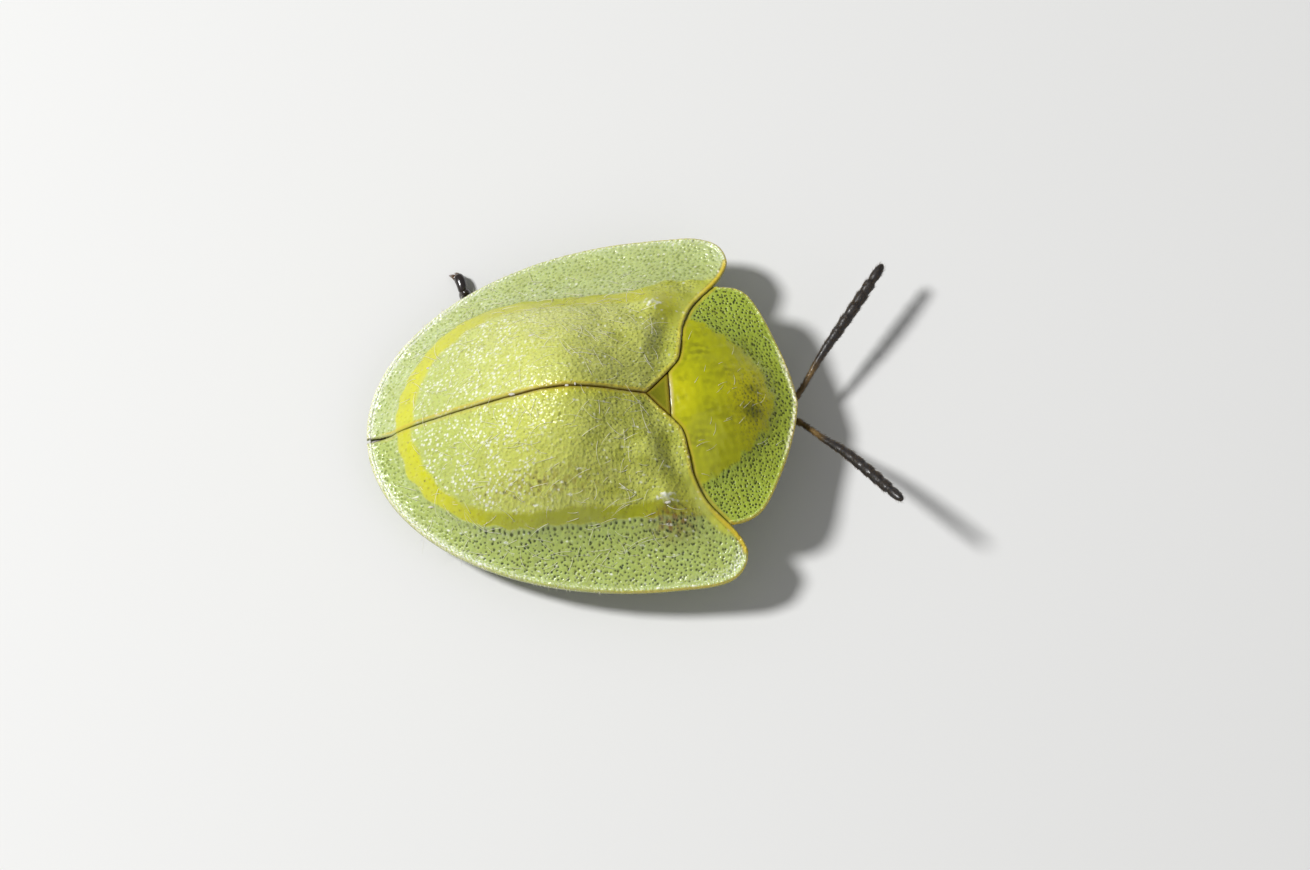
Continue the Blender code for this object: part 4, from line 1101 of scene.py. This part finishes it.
def buildSeamFlange():
    along = np.linspace(flange["from"], flange["to"], flange["rows"])[:, None]
    across = np.linspace(-1, 1, flange["columns"])[None, :]
    x = along + 0 * across
    y = across * (flange["halfWidth"] + flange["tailWidening"] * (1 - smooth(along)))
    top = wingDome(x, y) - wingCase["thickness"] - flange["gap"]
    coarse = flange["coarse"]
    upper = np.stack([x, y, top], axis=-1)
    lower = (upper - [0, 0, flange["thickness"]])[::coarse, ::coarse]
    surface = closePlate(upper, lower, coarse, False)
    makePiece("seamShadeFlange", surface, {"tint": np.zeros(len(surface[0]))}, bellyFinish)


buildSeamFlange()

trunk = {
    "keelTail": 0.85, "keelSlope": 0.06, "flank": 1.2, "creases": [3.1, 3.95, 4.85, 5.75],
    "columns": 72, "backGap": 0.24,
    "abdomenHalfWidth": 3.25, "abdomenLength": 3.72,
    # first and last x, rows along it, and from where to where across it turns paler
    "abdomen": (1.62, 6.88, 150, 2.2, 0.8),
    "thorax": (6.94, 9.95, 110, 2.4, 0.7),
    "prothorax": (10.15, 11.95, 80, 1.2, 0.9),
}


# Lowest line of the belly and its rise to the flanks: keel + flank·(y / the disc's half width)²
def bellyHeight(x, y):
    return trunk["keelTail"] + trunk["keelSlope"] * x + trunk["flank"] * (y / shield["discHalfWidth"]) ** 2


# Body section between two x, as a closed ring surface: the back hangs just under the plate above it,
# the underside is the belly with its own relief, and both ends are drawn in
def bodySection(xFrom, xTo, rows, halfWidth, dome, belly):
    u = np.linspace(0, 1, rows)[:, None]
    x = xFrom + (xTo - xFrom) * (0.5 - 0.5 * np.cos(np.pi * u))
    draw = np.clip(1 - np.abs(2 * u - 1) ** 40, 0, 1) ** 0.5 * 0.04 + 0.96
    angle = np.linspace(0, tau, trunk["columns"], endpoint=False)[None, :]
    y = halfWidth(x) * draw * np.cos(angle)
    back = dome(x, y) - trunk["backGap"] * steepness(dome, x, y)
    low = np.minimum(belly(x, y), back - 0.15)
    middle = (back + low) / 2
    half = (back - low) / 2
    squareness = np.sign(np.sin(angle)) * np.abs(np.sin(angle)) ** 0.35
    z = middle + half * squareness * draw
    points = np.stack([x + 0 * y, y, z], axis=-1)
    return closeRings(points, points[[0, -1]].mean(axis=1), flip=True)


def plainTint(surface, name, finish, nodes, tint=None):
    values = np.zeros(len(surface[0])) if tint is None else tint
    makePiece(name, surface, {"tint": values}, finish, nodes)


# Trunk: three body sections, whose bellies are the keel line with creases, grooves and leg sockets as
# bell-shaped dents
def buildTrunk():
    def abdomenWidth(x):
        behind = np.maximum(shield["discX"] - x, 0) / trunk["abdomenLength"]
        return trunk["abdomenHalfWidth"] * np.sqrt(1 - behind**2)

    def abdomenBelly(x, y):
        low = bellyHeight(x, y) + 0.004 * ripple(x, y, 0.25, 61)
        for creaseX in trunk["creases"]:
            behind = x - creaseX - 0.05 * (y / 3) ** 2
            low = low + 0.09 * np.exp(-(behind / 0.06) ** 2)
            low = low - 0.05 * smooth(1 - behind / 0.5) * (behind > 0)
        return low + 0.05 * np.exp(-((np.abs(y) - 2.55) / 0.12) ** 2)

    def thoraxWidth(x):
        return 3.2 - 0.8 * smooth((x - 8.3) / 1.6)

    def thoraxBelly(x, y):
        groove = 0.1 * np.exp(-(y / 0.07) ** 2) * smooth((8.6 - x) / 0.4)
        suture = 0.08 * np.exp(-((x - 8.45 + 0.12 * np.abs(y)) / 0.06) ** 2)
        side = 0.07 * np.exp(-((np.abs(y) - 2.35 + 0.25 * (x - 8)) / 0.06) ** 2)
        sockets = 0.25 * bump(x, np.abs(y), (7.35, 1.15), (0.28, 0.5))
        sockets = sockets + 0.25 * bump(x, np.abs(y), (8.95, 1.1), (0.3, 0.4))
        return bellyHeight(x, y) + groove + suture + side + sockets + 0.004 * ripple(x, y, 0.25, 62)

    def prothoraxWidth(x):
        return 2.3 - 0.75 * smooth((x - 10.3) / 1.6)

    def prothoraxBelly(x, y):
        keel = 0.1 * np.exp(-(y / 0.22) ** 2)
        sockets = 0.3 * bump(x, np.abs(y), (10.95, 0.75), (0.3, 0.35))
        return bellyHeight(x, y) - keel + sockets + 0.004 * ripple(x, y, 0.25, 63)

    shapes = {
        "abdomen": (abdomenWidth, wingDome, abdomenBelly),
        "thorax": (thoraxWidth, wingDome, thoraxBelly),
        "prothorax": (prothoraxWidth, noseDome, prothoraxBelly),
    }
    for node, (width, dome, belly) in shapes.items():
        xFrom, xTo, rows, paleFrom, paleWidth = trunk[node]
        section = bodySection(xFrom, xTo, rows, width, dome, belly)
        tint = smooth((np.abs(section[0][:, 1]) - paleFrom) / paleWidth)
        plainTint(section, f"{node}Plates", bellyFinish, [node], tint)


buildTrunk()
print("trunk ready")

headPlaces = {
    "centre": (12.65, 0, 1.45), "radii": (0.7, 0.84, 0.58),
    "eye": (12.7, 0.72, 1.52), "eyeRadii": (0.34, 0.28, 0.46),
    "jawRoot": (12.9, 0.3, 1.02), "jawTip": (13.27, 0.07, 0.72), "jawBow": (0, 0.05, 0),
    # start, end, radii, flatness, rings, sides and tint of the brow, the face shield and the lip
    "frontPlates": [
        ((12.95, -0.3, 1.42), (12.95, 0.3, 1.42), [0.26, 0.29, 0.26], 1.0, 30, 28, 0.0),
        ((12.92, 0, 1.28), (13.2, 0, 0.95), [0.36, 0.34, 0.26], 0.8, 36, 30, 0.15),
        ((13.14, -0.16, 0.86), (13.14, 0.16, 0.86), [0.14, 0.17, 0.14], 0.7, 24, 20, 0.5),
    ],
    # start, end, radii and tint of the outer palp's two joints, the inner palp and the feeler's socket
    "smallJoints": [
        ((12.72, 0.38, 0.98), (12.92, 0.5, 0.72), [0.07, 0.09, 0.08], 0.7),
        ((12.93, 0.5, 0.72), (13.1, 0.5, 0.6), [0.07, 0.09, 0.03], 0.8),
        ((12.85, 0.18, 0.92), (13.08, 0.22, 0.66), [0.06, 0.07, 0.03], 0.7),
        ((13.1, 0.2, 1.36), (13.45, 0.21, 1.31), [0.15, 0.17], 0.3),
    ],
}


# Head: a rounded capsule whose radius is eased by a groove down the face, with a brow, a face shield, a
# lip, two jaws, four palps and the feelers' sockets
def buildHead():
    def faceRelief(u, angle):
        groove = 0.05 * np.exp(-((np.sin(angle) - 0.2) / 0.12) ** 2) * smooth((u - 0.7) / 0.2)
        return 1 - groove + 0.012 * np.sin(9 * angle) * np.sin(14 * u)

    parts = [ball(headPlaces["centre"], headPlaces["radii"], 60, 64, faceRelief)]
    tints = [0.0]
    for start, end, radii, flat, rings, sides, tint in headPlaces["frontPlates"]:
        parts.append(limb(start, end, radii, flat, rings, sides))
        tints.append(tint)
    for side in (1, -1):
        flip = np.array([1, side, 1])
        root, tip, bow = (headPlaces[name] * flip for name in ("jawRoot", "jawTip", "jawBow"))
        parts.append(limb(root, tip, [0.18, 0.17, 0.05], 0.6, 26, 16, sag=bow))
        tints.append(1.0)
        for start, end, radii, tint in headPlaces["smallJoints"]:
            parts.append(limb(start * flip, end * flip, radii, rings=18, sides=14))
            tints.append(tint)
    surface, tint = joined(parts, tints)
    plainTint(surface, "headCapsule", headFinish, ["head"], tint)

    # Facets: rows of small domes, the radius swells by a cosine along times a cosine around
    def facets(u, angle):
        return 1 + 0.012 * np.cos(u * np.pi * 26) * np.cos(angle * 15)

    for sideName, side in (("left", 1), ("right", -1)):
        eye = ball(headPlaces["eye"] * np.array([1, side, 1]), headPlaces["eyeRadii"], 90, 100, facets)
        plainTint(eye, f"eyeBall_{sideName}", eyeFinish, [f"eye_{sideName}"])


buildHead()

feelerShape = {
    "lengths": [1.0, 0.45, 0.75, 0.8, 0.75, 0.65, 0.65, 0.6, 0.6, 0.6, 0.95],
    "radii": [0.115, 0.085, 0.09, 0.115, 0.145, 0.17, 0.185, 0.192, 0.192, 0.185, 0.165],
    "routes": {
        "left": [(13.5, 0.2, 1.3), (14.03, 0.5, 1.38), (14.94, 1.78, 1.65), (15.95, 3.05, 1.82),
                 (17.12, 4.6, 1.95)],
        "right": [(13.5, -0.2, 1.3), (14.06, -0.42, 1.42), (14.8, -1.2, 2.0), (15.6, -2.0, 2.52),
                  (17.09, -3.82, 3.47)],
    },
    "rings": 11, "sides": 24, "flatness": 0.86, "down": (1500, 0.09, 0.0055, 71),
}


# A smooth curve through a route's points (Catmull-Rom), read at shares of its length
def routePoints(route, shares):
    route = np.asarray(route, float)
    padded = np.vstack([2 * route[0] - route[1], route, 2 * route[-1] - route[-2]])
    t = np.linspace(0, 1, 40, endpoint=False)[:, None]
    pieces = []
    for i in range(1, len(padded) - 2):
        a, b, c, d = padded[i - 1 : i + 3]
        bend = (2 * a - 5 * b + 4 * c - d) * t**2 + (3 * b - a - 3 * c + d) * t**3
        pieces.append(0.5 * (2 * b + (c - a) * t + bend))
    curve = np.vstack(pieces + [route[-1:]])
    travelled = np.concatenate([[0], np.cumsum(np.linalg.norm(np.diff(curve, axis=0), axis=1))])
    wanted = np.asarray(shares) * travelled[-1]
    return np.stack([np.interp(wanted, travelled, curve[:, k]) for k in range(3)], axis=1)


# Radius along one feeler joint: a little narrower at its root, and drawn in again at its end
def jointProfile(v):
    return 0.86 + 0.15 * smooth(v / 0.6) - 0.14 * smooth((v - 0.85) / 0.15)


# Short down on a round limb: hairs from random places on it, leaning towards its tip
def down(path, radius, count, length, thick, seed, lean=1.2):
    rng = np.random.default_rng(seed)
    share = rng.uniform(0.02, 0.99, count) * (len(path) - 1)
    low = np.minimum(share.astype(int), len(path) - 2)
    part = (share - low)[:, None]
    centre = path[low] * (1 - part) + path[low + 1] * part
    forward = path[low + 1] - path[low]
    forward /= np.linalg.norm(forward, axis=1)[:, None]
    size = np.interp(share, np.arange(len(path)), radius)
    drawn = rng.normal(size=(count, 3))
    normal = drawn - forward * (drawn * forward).sum(axis=1)[:, None]
    normal /= np.linalg.norm(normal, axis=1)[:, None]
    roots = centre + normal * (size * 0.96)[:, None]
    long = length * rng.uniform(0.6, 1.3, count)
    return hairs(roots, normal, forward * lean + 0.2 * drawn, long, rng.uniform(0.5, 0.9, count),
                 rng.uniform(0.1, 0.4, count), rng.uniform(-0.3, 0.3, count), thick, 3)


# Feeler: a tube along its route whose radius follows each joint's profile, rounded at the tip by the
# root of 1 - t^3.5, with down on it
def buildFeeler(sideName):
    ends = np.concatenate([[0], np.cumsum(feelerShape["lengths"])]) / sum(feelerShape["lengths"])
    sides = feelerShape["sides"]
    v = np.linspace(0, 1, feelerShape["rings"], endpoint=False)
    shares = []
    radii = []
    for start, end, radius in zip(ends[:-1], ends[1:], feelerShape["radii"]):
        shares.append(start + (end - start) * v)
        radii.append(radius * jointProfile(v))
    shares = np.concatenate(shares + [np.array([0.996, 1.0])])
    radii = np.concatenate(radii + [np.zeros(2)])
    tip = np.clip((shares - ends[-2]) / (1 - ends[-2]), 0, 1)
    rounded = np.sqrt(np.clip(1 - tip**3.5, 0.002, 1)) * feelerShape["radii"][-1] * smooth(0.62 + tip)
    radii = np.where(shares > ends[-2], rounded, radii)
    path = routePoints(feelerShape["routes"][sideName], shares)

    def roughness(u, angle):
        return 1 + 0.03 * np.sin(7 * angle + 90 * u) * np.sin(260 * u + 2 * angle)

    body = tube(path, radii, radii * feelerShape["flatness"], sides, relief=roughness)
    blackness = smooth((shares - 0.26) / 0.1)
    fuzz = down(path, radii, *feelerShape["down"])
    surface, _ = joined([body, fuzz])
    tint = np.concatenate([np.repeat(1 - blackness, sides), [1.0, 0.0], np.full(len(fuzz[0]), 0.5)])
    plainTint(surface, f"feeler_{sideName}", feelerFinish, [f"antenna_{sideName}"], tint)


buildFeeler("left")
buildFeeler("right")

ankleZ = 0.42
legPlaces = {
    "front": {
        "hip": (10.95, 0.75), "knee": (11.3, 2.7, 1.6), "ankle": (11.75, 2.6, ankleZ), "toe": (12.5, 2.8)},
    "middle": {
        "hip": (8.95, 1.1), "knee": (8.85, 3.8, 1.6), "ankle": (8.1, 4.2, ankleZ), "toe": (7.3, 4.9)},
    "hind": {
        "hip": (7.4, 1.15), "knee": (5.7, 3.65, 1.4), "ankle": (4.75, 3.6, ankleZ), "toe": (3.75, 3.75)},
    "stretched": {
        "hip": (7.4, 1.15), "knee": (5.3, 3.7, 1.4), "ankle": (3.8, 4.4, ankleZ), "toe": (3.25, 5.85)},
}
legShape = {
    "thigh": [0.17, 0.25, 0.34, 0.36, 0.3, 0.2], "shin": [0.15, 0.16, 0.18, 0.2, 0.24, 0.25],
    # share of the way along the foot, length and width
    "pads": [(0.02, 0.44, 0.38), (0.25, 0.42, 0.42), (0.45, 0.44, 0.42)],
    "clawJoint": [0.12, 0.16, 0.18, 0.16], "clawThick": 0.1,
    # bare rings of 40 from its start, then count, length, thickness and seed of the down
    "down": {"shin": (12, 260, 0.13, 0.006, 81), "thigh": (8, 160, 0.1, 0.005, 82)},
    # height and share of the full outline, up the side of a pad
    "padTop": [(0.0, 0.84), (0.03, 0.95), (0.1, 1.0), (0.22, 0.98), (0.34, 0.85), (0.44, 0.6), (0.5, 0.25),
               (0.51, 0.02)],
}


# Toe pad: rings of a rounded outline stacked on the floor, shrinking to the top. The outline is an
# ellipse with a notch in front, which cuts the last pad into two lobes
def toePad(centre, forward, length, width, notch, sides=36):
    angle = np.arange(sides) * tau / sides
    cut = 1 - notch * np.exp(-((np.abs((angle + np.pi) % tau - np.pi)) / 0.35) ** 2)
    sideways = np.array([-forward[1], forward[0]])
    outline = (np.cos(angle) * cut)[:, None] * forward * length / 2
    outline = outline + np.sin(angle)[:, None] * sideways * width / 2
    levels = np.array(legShape["padTop"])
    rings = centre + outline[None] * levels[:, 1, None, None]
    heights = np.broadcast_to(levels[:, 0, None, None], rings.shape[:2] + (1,))
    ends = [[*centre, levels[0, 0]], [*centre, levels[-1, 0]]]
    return closeRings(np.concatenate([rings, heights], axis=-1), ends)


# Claw: a curved spine from root to tip, bowed upwards and tapering
def claw(root, tip, thick):
    u = np.linspace(0, 1, 22)
    path = np.asarray(root) + (np.asarray(tip) - np.asarray(root)) * u[:, None]
    path[:, 2] += 0.09 * np.sin(np.pi * u ** 0.8)
    return tube(path, thick * (1 - 0.85 * u**1.4), sides=12)


# Leg: limbs from hip to knee to ankle, with toe pads on the floor, a claw joint and two claws
def buildLeg(pieceName, places, side, node):
    flip = np.array([1, side, 1])
    hipX, hipY = places["hip"]
    hip = np.array([hipX, hipY, bellyHeight(hipX, hipY) - 0.42]) * flip
    knee = np.array(places["knee"]) * flip
    ankle = np.array(places["ankle"]) * flip
    toe = np.array(places["toe"]) * flip[:2]
    heading = toe - ankle[:2]
    reach = np.linalg.norm(heading)
    forward = heading / reach
    sideways = np.array([-forward[1], forward[0]])

    def ridges(u, angle):
        return 1 + 0.018 * np.sin(6 * angle) * np.sin(np.pi * u) + 0.006 * np.sin(60 * u + 5 * angle)

    outward = (knee - hip) / np.linalg.norm(knee - hip)
    parts = [
        limb(hip + [0, 0, 0.34], hip + [0.01, 0, 0.02], [0.3, 0.34, 0.28], 1.0, 30, 28, up=(1, 0, 0)),
        limb(hip + outward * 0.02, hip + outward * 0.3, [0.2, 0.24, 0.2], rings=24, sides=24),
        limb(hip + outward * 0.22, knee, legShape["thigh"], 0.82, 70, 28, relief=ridges, sag=(0, 0, 0.06)),
        limb(knee, ankle, legShape["shin"], 0.85, 60, 26, relief=ridges, up=(0.3, 1, 0.2)),
    ]
    tints = [0.15, 0.1, 0.0, 0.05]
    for i, (share, length, width) in enumerate(legShape["pads"]):
        notch = 0.45 if i == 2 else 0.12
        centre = ankle[:2] + forward * reach * share + sideways * 0.03 * i
        parts.append(toePad(centre, forward, length, width, notch))
        tints.append(0.12)
    root = np.array([*(ankle[:2] + forward * reach * 0.5 + sideways * 0.14), 0.34])
    end = np.array([*(ankle[:2] + forward * reach * 0.83 + sideways * 0.06), 0.3])
    bow = (*(-0.05 * sideways), 0.06)
    parts.append(limb(root, end, legShape["clawJoint"], 0.9, 34, 20, sag=bow))
    tints.append(0.1)
    for spread in (1, -1):
        start = end + [*(sideways * 0.06 * spread), -0.01]
        tip = np.array([*(toe + sideways * (0.16 + 0.1 * spread)), 0.03])
        parts.append(claw(start, tip, legShape["clawThick"]))
        tints.append(0.9)
    u = np.linspace(0, 1, 40)[:, None]
    for name, first, last, tint in (("shin", knee, ankle, 0.8), ("thigh", hip, knee, 0.6)):
        path = first * (1 - u) + last * u
        radius = np.interp(u[:, 0], np.linspace(0, 1, len(legShape[name])), legShape[name])
        bare, *growth = legShape["down"][name]
        parts.append(down(path[bare:], radius[bare:], *growth))
        tints.append(tint)
    surface, tint = joined(parts, tints)
    plainTint(surface, pieceName, legFinish, [node], tint)


for sideName, side in (("left", 1), ("right", -1)):
    buildLeg(f"frontLeg_{sideName}", legPlaces["front"], side, f"leg_front_{sideName}")
    buildLeg(f"middleLeg_{sideName}", legPlaces["middle"], side, f"leg_middle_{sideName}")
    hindPlaces = legPlaces["stretched" if side > 0 else "hind"]
    buildLeg(f"hindLeg_{sideName}", hindPlaces, side, f"leg_hind_{sideName}")


# Pale hairs that lie on the shell, and short bristles that stand out from its rim
def buildShellHair():
    rng = np.random.default_rng(91)
    sets = []
    for side in (1, -1):
        count = wingCase["hairCount"]
        x = rng.uniform(1.2, 9.6, count * 3)
        y = rng.uniform(0.25, 5.2, count * 3)
        inside = (y < halfWidthAt(x) - 0.35) & (x < wingFrontX(y) - 0.5)
        x = x[inside][:count]
        y = y[inside][:count]
        normal = surfaceNormal(wingDome, x, y)
        roots = np.stack([x, y, wingDome(x, y) - 0.01], axis=1)
        lean = np.stack([-1.0 + rng.normal(0, 0.7, len(x)), rng.normal(0, 0.7, len(x)), 0 * x], axis=1)
        long = rng.uniform(0.25, 1.0, len(x))
        lift = 1 - 0.97 * bump(x, y, (6.3, 0), (2.2, 2.2))  # hairs lie flat over the hump
        rise = rng.uniform(0.2, 0.5, len(x)) * lift
        sag = rng.uniform(0.15, 0.45, len(x)) * lift
        bend = rng.uniform(-0.7, 0.7, len(x))
        made = hairs(roots, normal, lean, long, rise, sag, bend, wingCase["hairThick"], 8)
        sets.append(mirrored(made, side))
    count = nosePlate["hairCount"]
    x = rng.uniform(10.5, 13.2, count)
    y = rng.uniform(-2.6, 2.6, count)
    normal = surfaceNormal(noseTop, x, y)
    roots = np.stack([x, y, noseTop(x, y) - 0.01], axis=1)
    lean = np.stack([0.8 + rng.normal(0, 0.35, count), 0.5 + rng.normal(0, 0.4, count), 0 * x], axis=1)
    long = rng.uniform(0.2, 0.5, count)
    rise = rng.uniform(0.2, 0.4, count)
    sag = rng.uniform(0.2, 0.4, count)
    bend = rng.uniform(-0.4, 0.4, count)
    sets.append(hairs(roots, normal, lean, long, rise, sag, bend, nosePlate["hairThick"], 8))
    for side in (1, -1):
        count = wingCase["bristleCount"]
        x = rng.uniform(1.5, 7.2, count)
        y = halfWidthAt(x) - 0.05
        long = np.minimum(rng.uniform(0.1, 0.24, count), shield["halfWidth"] - 0.03 - y)
        roots = np.stack([x, y, rimHeight(x) - 0.02], axis=1)
        out = np.stack([0.25 + 0 * x, 1 + 0 * x, 0 * x], axis=1) + rng.normal(0, 0.25, (count, 3))
        normal = np.tile([0.0, 0.0, 1.0], (count, 1))
        rise = rng.uniform(-0.2, 0.4, count)
        sag = rng.uniform(0, 0.2, count)
        bend = rng.uniform(-0.3, 0.3, count)
        made = hairs(roots, normal, out, long, rise, sag, bend, wingCase["bristleThick"], 4)
        sets.append(mirrored(made, side))
    surface, _ = joined(sets)
    plainTint(surface, "shellHair", hairFinish, ())


buildShellHair()


# Dry flecks on the seam and shoulders: small flattened lumps
fleckPlaces = [  # x, y, length, width
    (4.78, 0.03, 0.2, 0.09), (6.55, 0.0, 0.12, 0.07), (6.82, 0.04, 0.06, 0.1), (5.55, 2.05, 0.22, 0.08),
    (9.55, -3.42, 0.2, 0.12), (9.35, -3.3, 0.1, 0.07), (2.15, 1.9, 0.12, 0.07), (1.95, -2.55, 0.2, 0.06),
]


def buildFlecks():
    parts = []
    for i, (x, y, length, width) in enumerate(fleckPlaces):
        z = min(float(wingDome(np.array(x), np.array(y))), shield["hairCeiling"] - 0.02)

        def lumps(u, angle, i=i):
            return 1 + 0.3 * np.sin(3 * angle + 7 * u + i) * np.sin(9 * u + 2 * i)

        parts.append(ball((x, y, z + 0.01), (length / 2, width / 2, 0.03), 20, 20, lumps))
    surface, _ = joined(parts)
    plainTint(surface, "dryFlecks", flakeFinish, ())


buildFlecks()
print("hair and flecks ready")

# Places here are from the row frame's origin
studio = {
    "turn": 3.9, "tilt": 16.0, "distance": 280.0, "lens": 237.46, "sensor": 36.0,  # degrees, millimetres
    "target": (-2.175, 0.0, 1.685), "shiftRight": 2.868, "shiftUp": -0.382,
    "keyFrom": (-0.59, 0.16, 0.79), "keyDistance": 260.0, "keySize": 45.0, "keyPower": 0.66,
    "fillFrom": (0.5, -0.6, 0.8), "fillDistance": 300.0, "fillSize": 260.0, "fillPower": 0.06,
    "sky": 0.22, "floor": (0.80, 0.80, 0.79), "floorHalf": 1.5,  # metres
}


# Camera: stands at the distance from the target, along the direction square to its own right and up
def buildCamera():
    turn = np.radians(studio["turn"])
    tilt = np.radians(studio["tilt"])
    right = np.array([np.cos(turn), -np.sin(turn), 0])
    up = np.array([np.sin(turn) * np.cos(tilt), np.cos(turn) * np.cos(tilt), np.sin(tilt)])
    back = np.cross(right, up)
    place = np.array(studio["target"]) + back * studio["distance"]
    place = place + right * studio["shiftRight"] + up * studio["shiftUp"]
    camera = bpy.data.objects.new("camera", bpy.data.cameras.new("camera"))
    camera.data.lens = studio["lens"]
    camera.data.sensor_width = studio["sensor"]
    camera.data.clip_start = 10 * mm
    axes = Matrix([[*right], [*up], [*back]]).transposed().to_4x4()
    camera.matrix_world = Matrix.Translation(Vector(place * mm)) @ axes
    bpy.context.scene.collection.objects.link(camera)
    bpy.context.scene.camera = camera


# Round area light that shines at the origin from a direction
def addLight(name, towards, distance, size, power):
    light = bpy.data.objects.new(name, bpy.data.lights.new(name, "AREA"))
    light.data.shape = "DISK"
    light.data.size = size * mm
    light.data.energy = power
    way = Vector(towards).normalized()
    light.location = way * distance * mm
    light.rotation_mode = "QUATERNION"
    light.rotation_quaternion = way.to_track_quat("Z", "Y")
    bpy.context.scene.collection.objects.link(light)


# A plain pale floor, two soft lights and an even sky
def buildStudio():
    side = studio["floorHalf"]
    mesh = bpy.data.meshes.new("floor")
    corners = [(-side, -side, 0), (side, -side, 0), (side, side, 0), (-side, side, 0)]
    mesh.from_pydata(corners, [], [(0, 1, 2, 3)])
    finish, _, shader = newFinish("floorPaper")
    shader.inputs["Base Color"].default_value = (*studio["floor"], 1)
    shader.inputs["Roughness"].default_value = 0.8
    mesh.materials.append(finish)
    floor = bpy.data.objects.new("floor", mesh)
    bpy.context.scene.collection.objects.link(floor)
    addLight("key", studio["keyFrom"], studio["keyDistance"], studio["keySize"], studio["keyPower"])
    addLight("fill", studio["fillFrom"], studio["fillDistance"], studio["fillSize"], studio["fillPower"])
    world = bpy.data.worlds.new("softSky")
    world.use_nodes = True
    world.node_tree.nodes["Background"].inputs["Color"].default_value = (1, 1, 1, 1)
    world.node_tree.nodes["Background"].inputs["Strength"].default_value = studio["sky"]
    bpy.context.scene.world = world
    bpy.context.scene.view_settings.view_transform = "Standard"


buildCamera()
buildStudio()
print("camera and light ready")
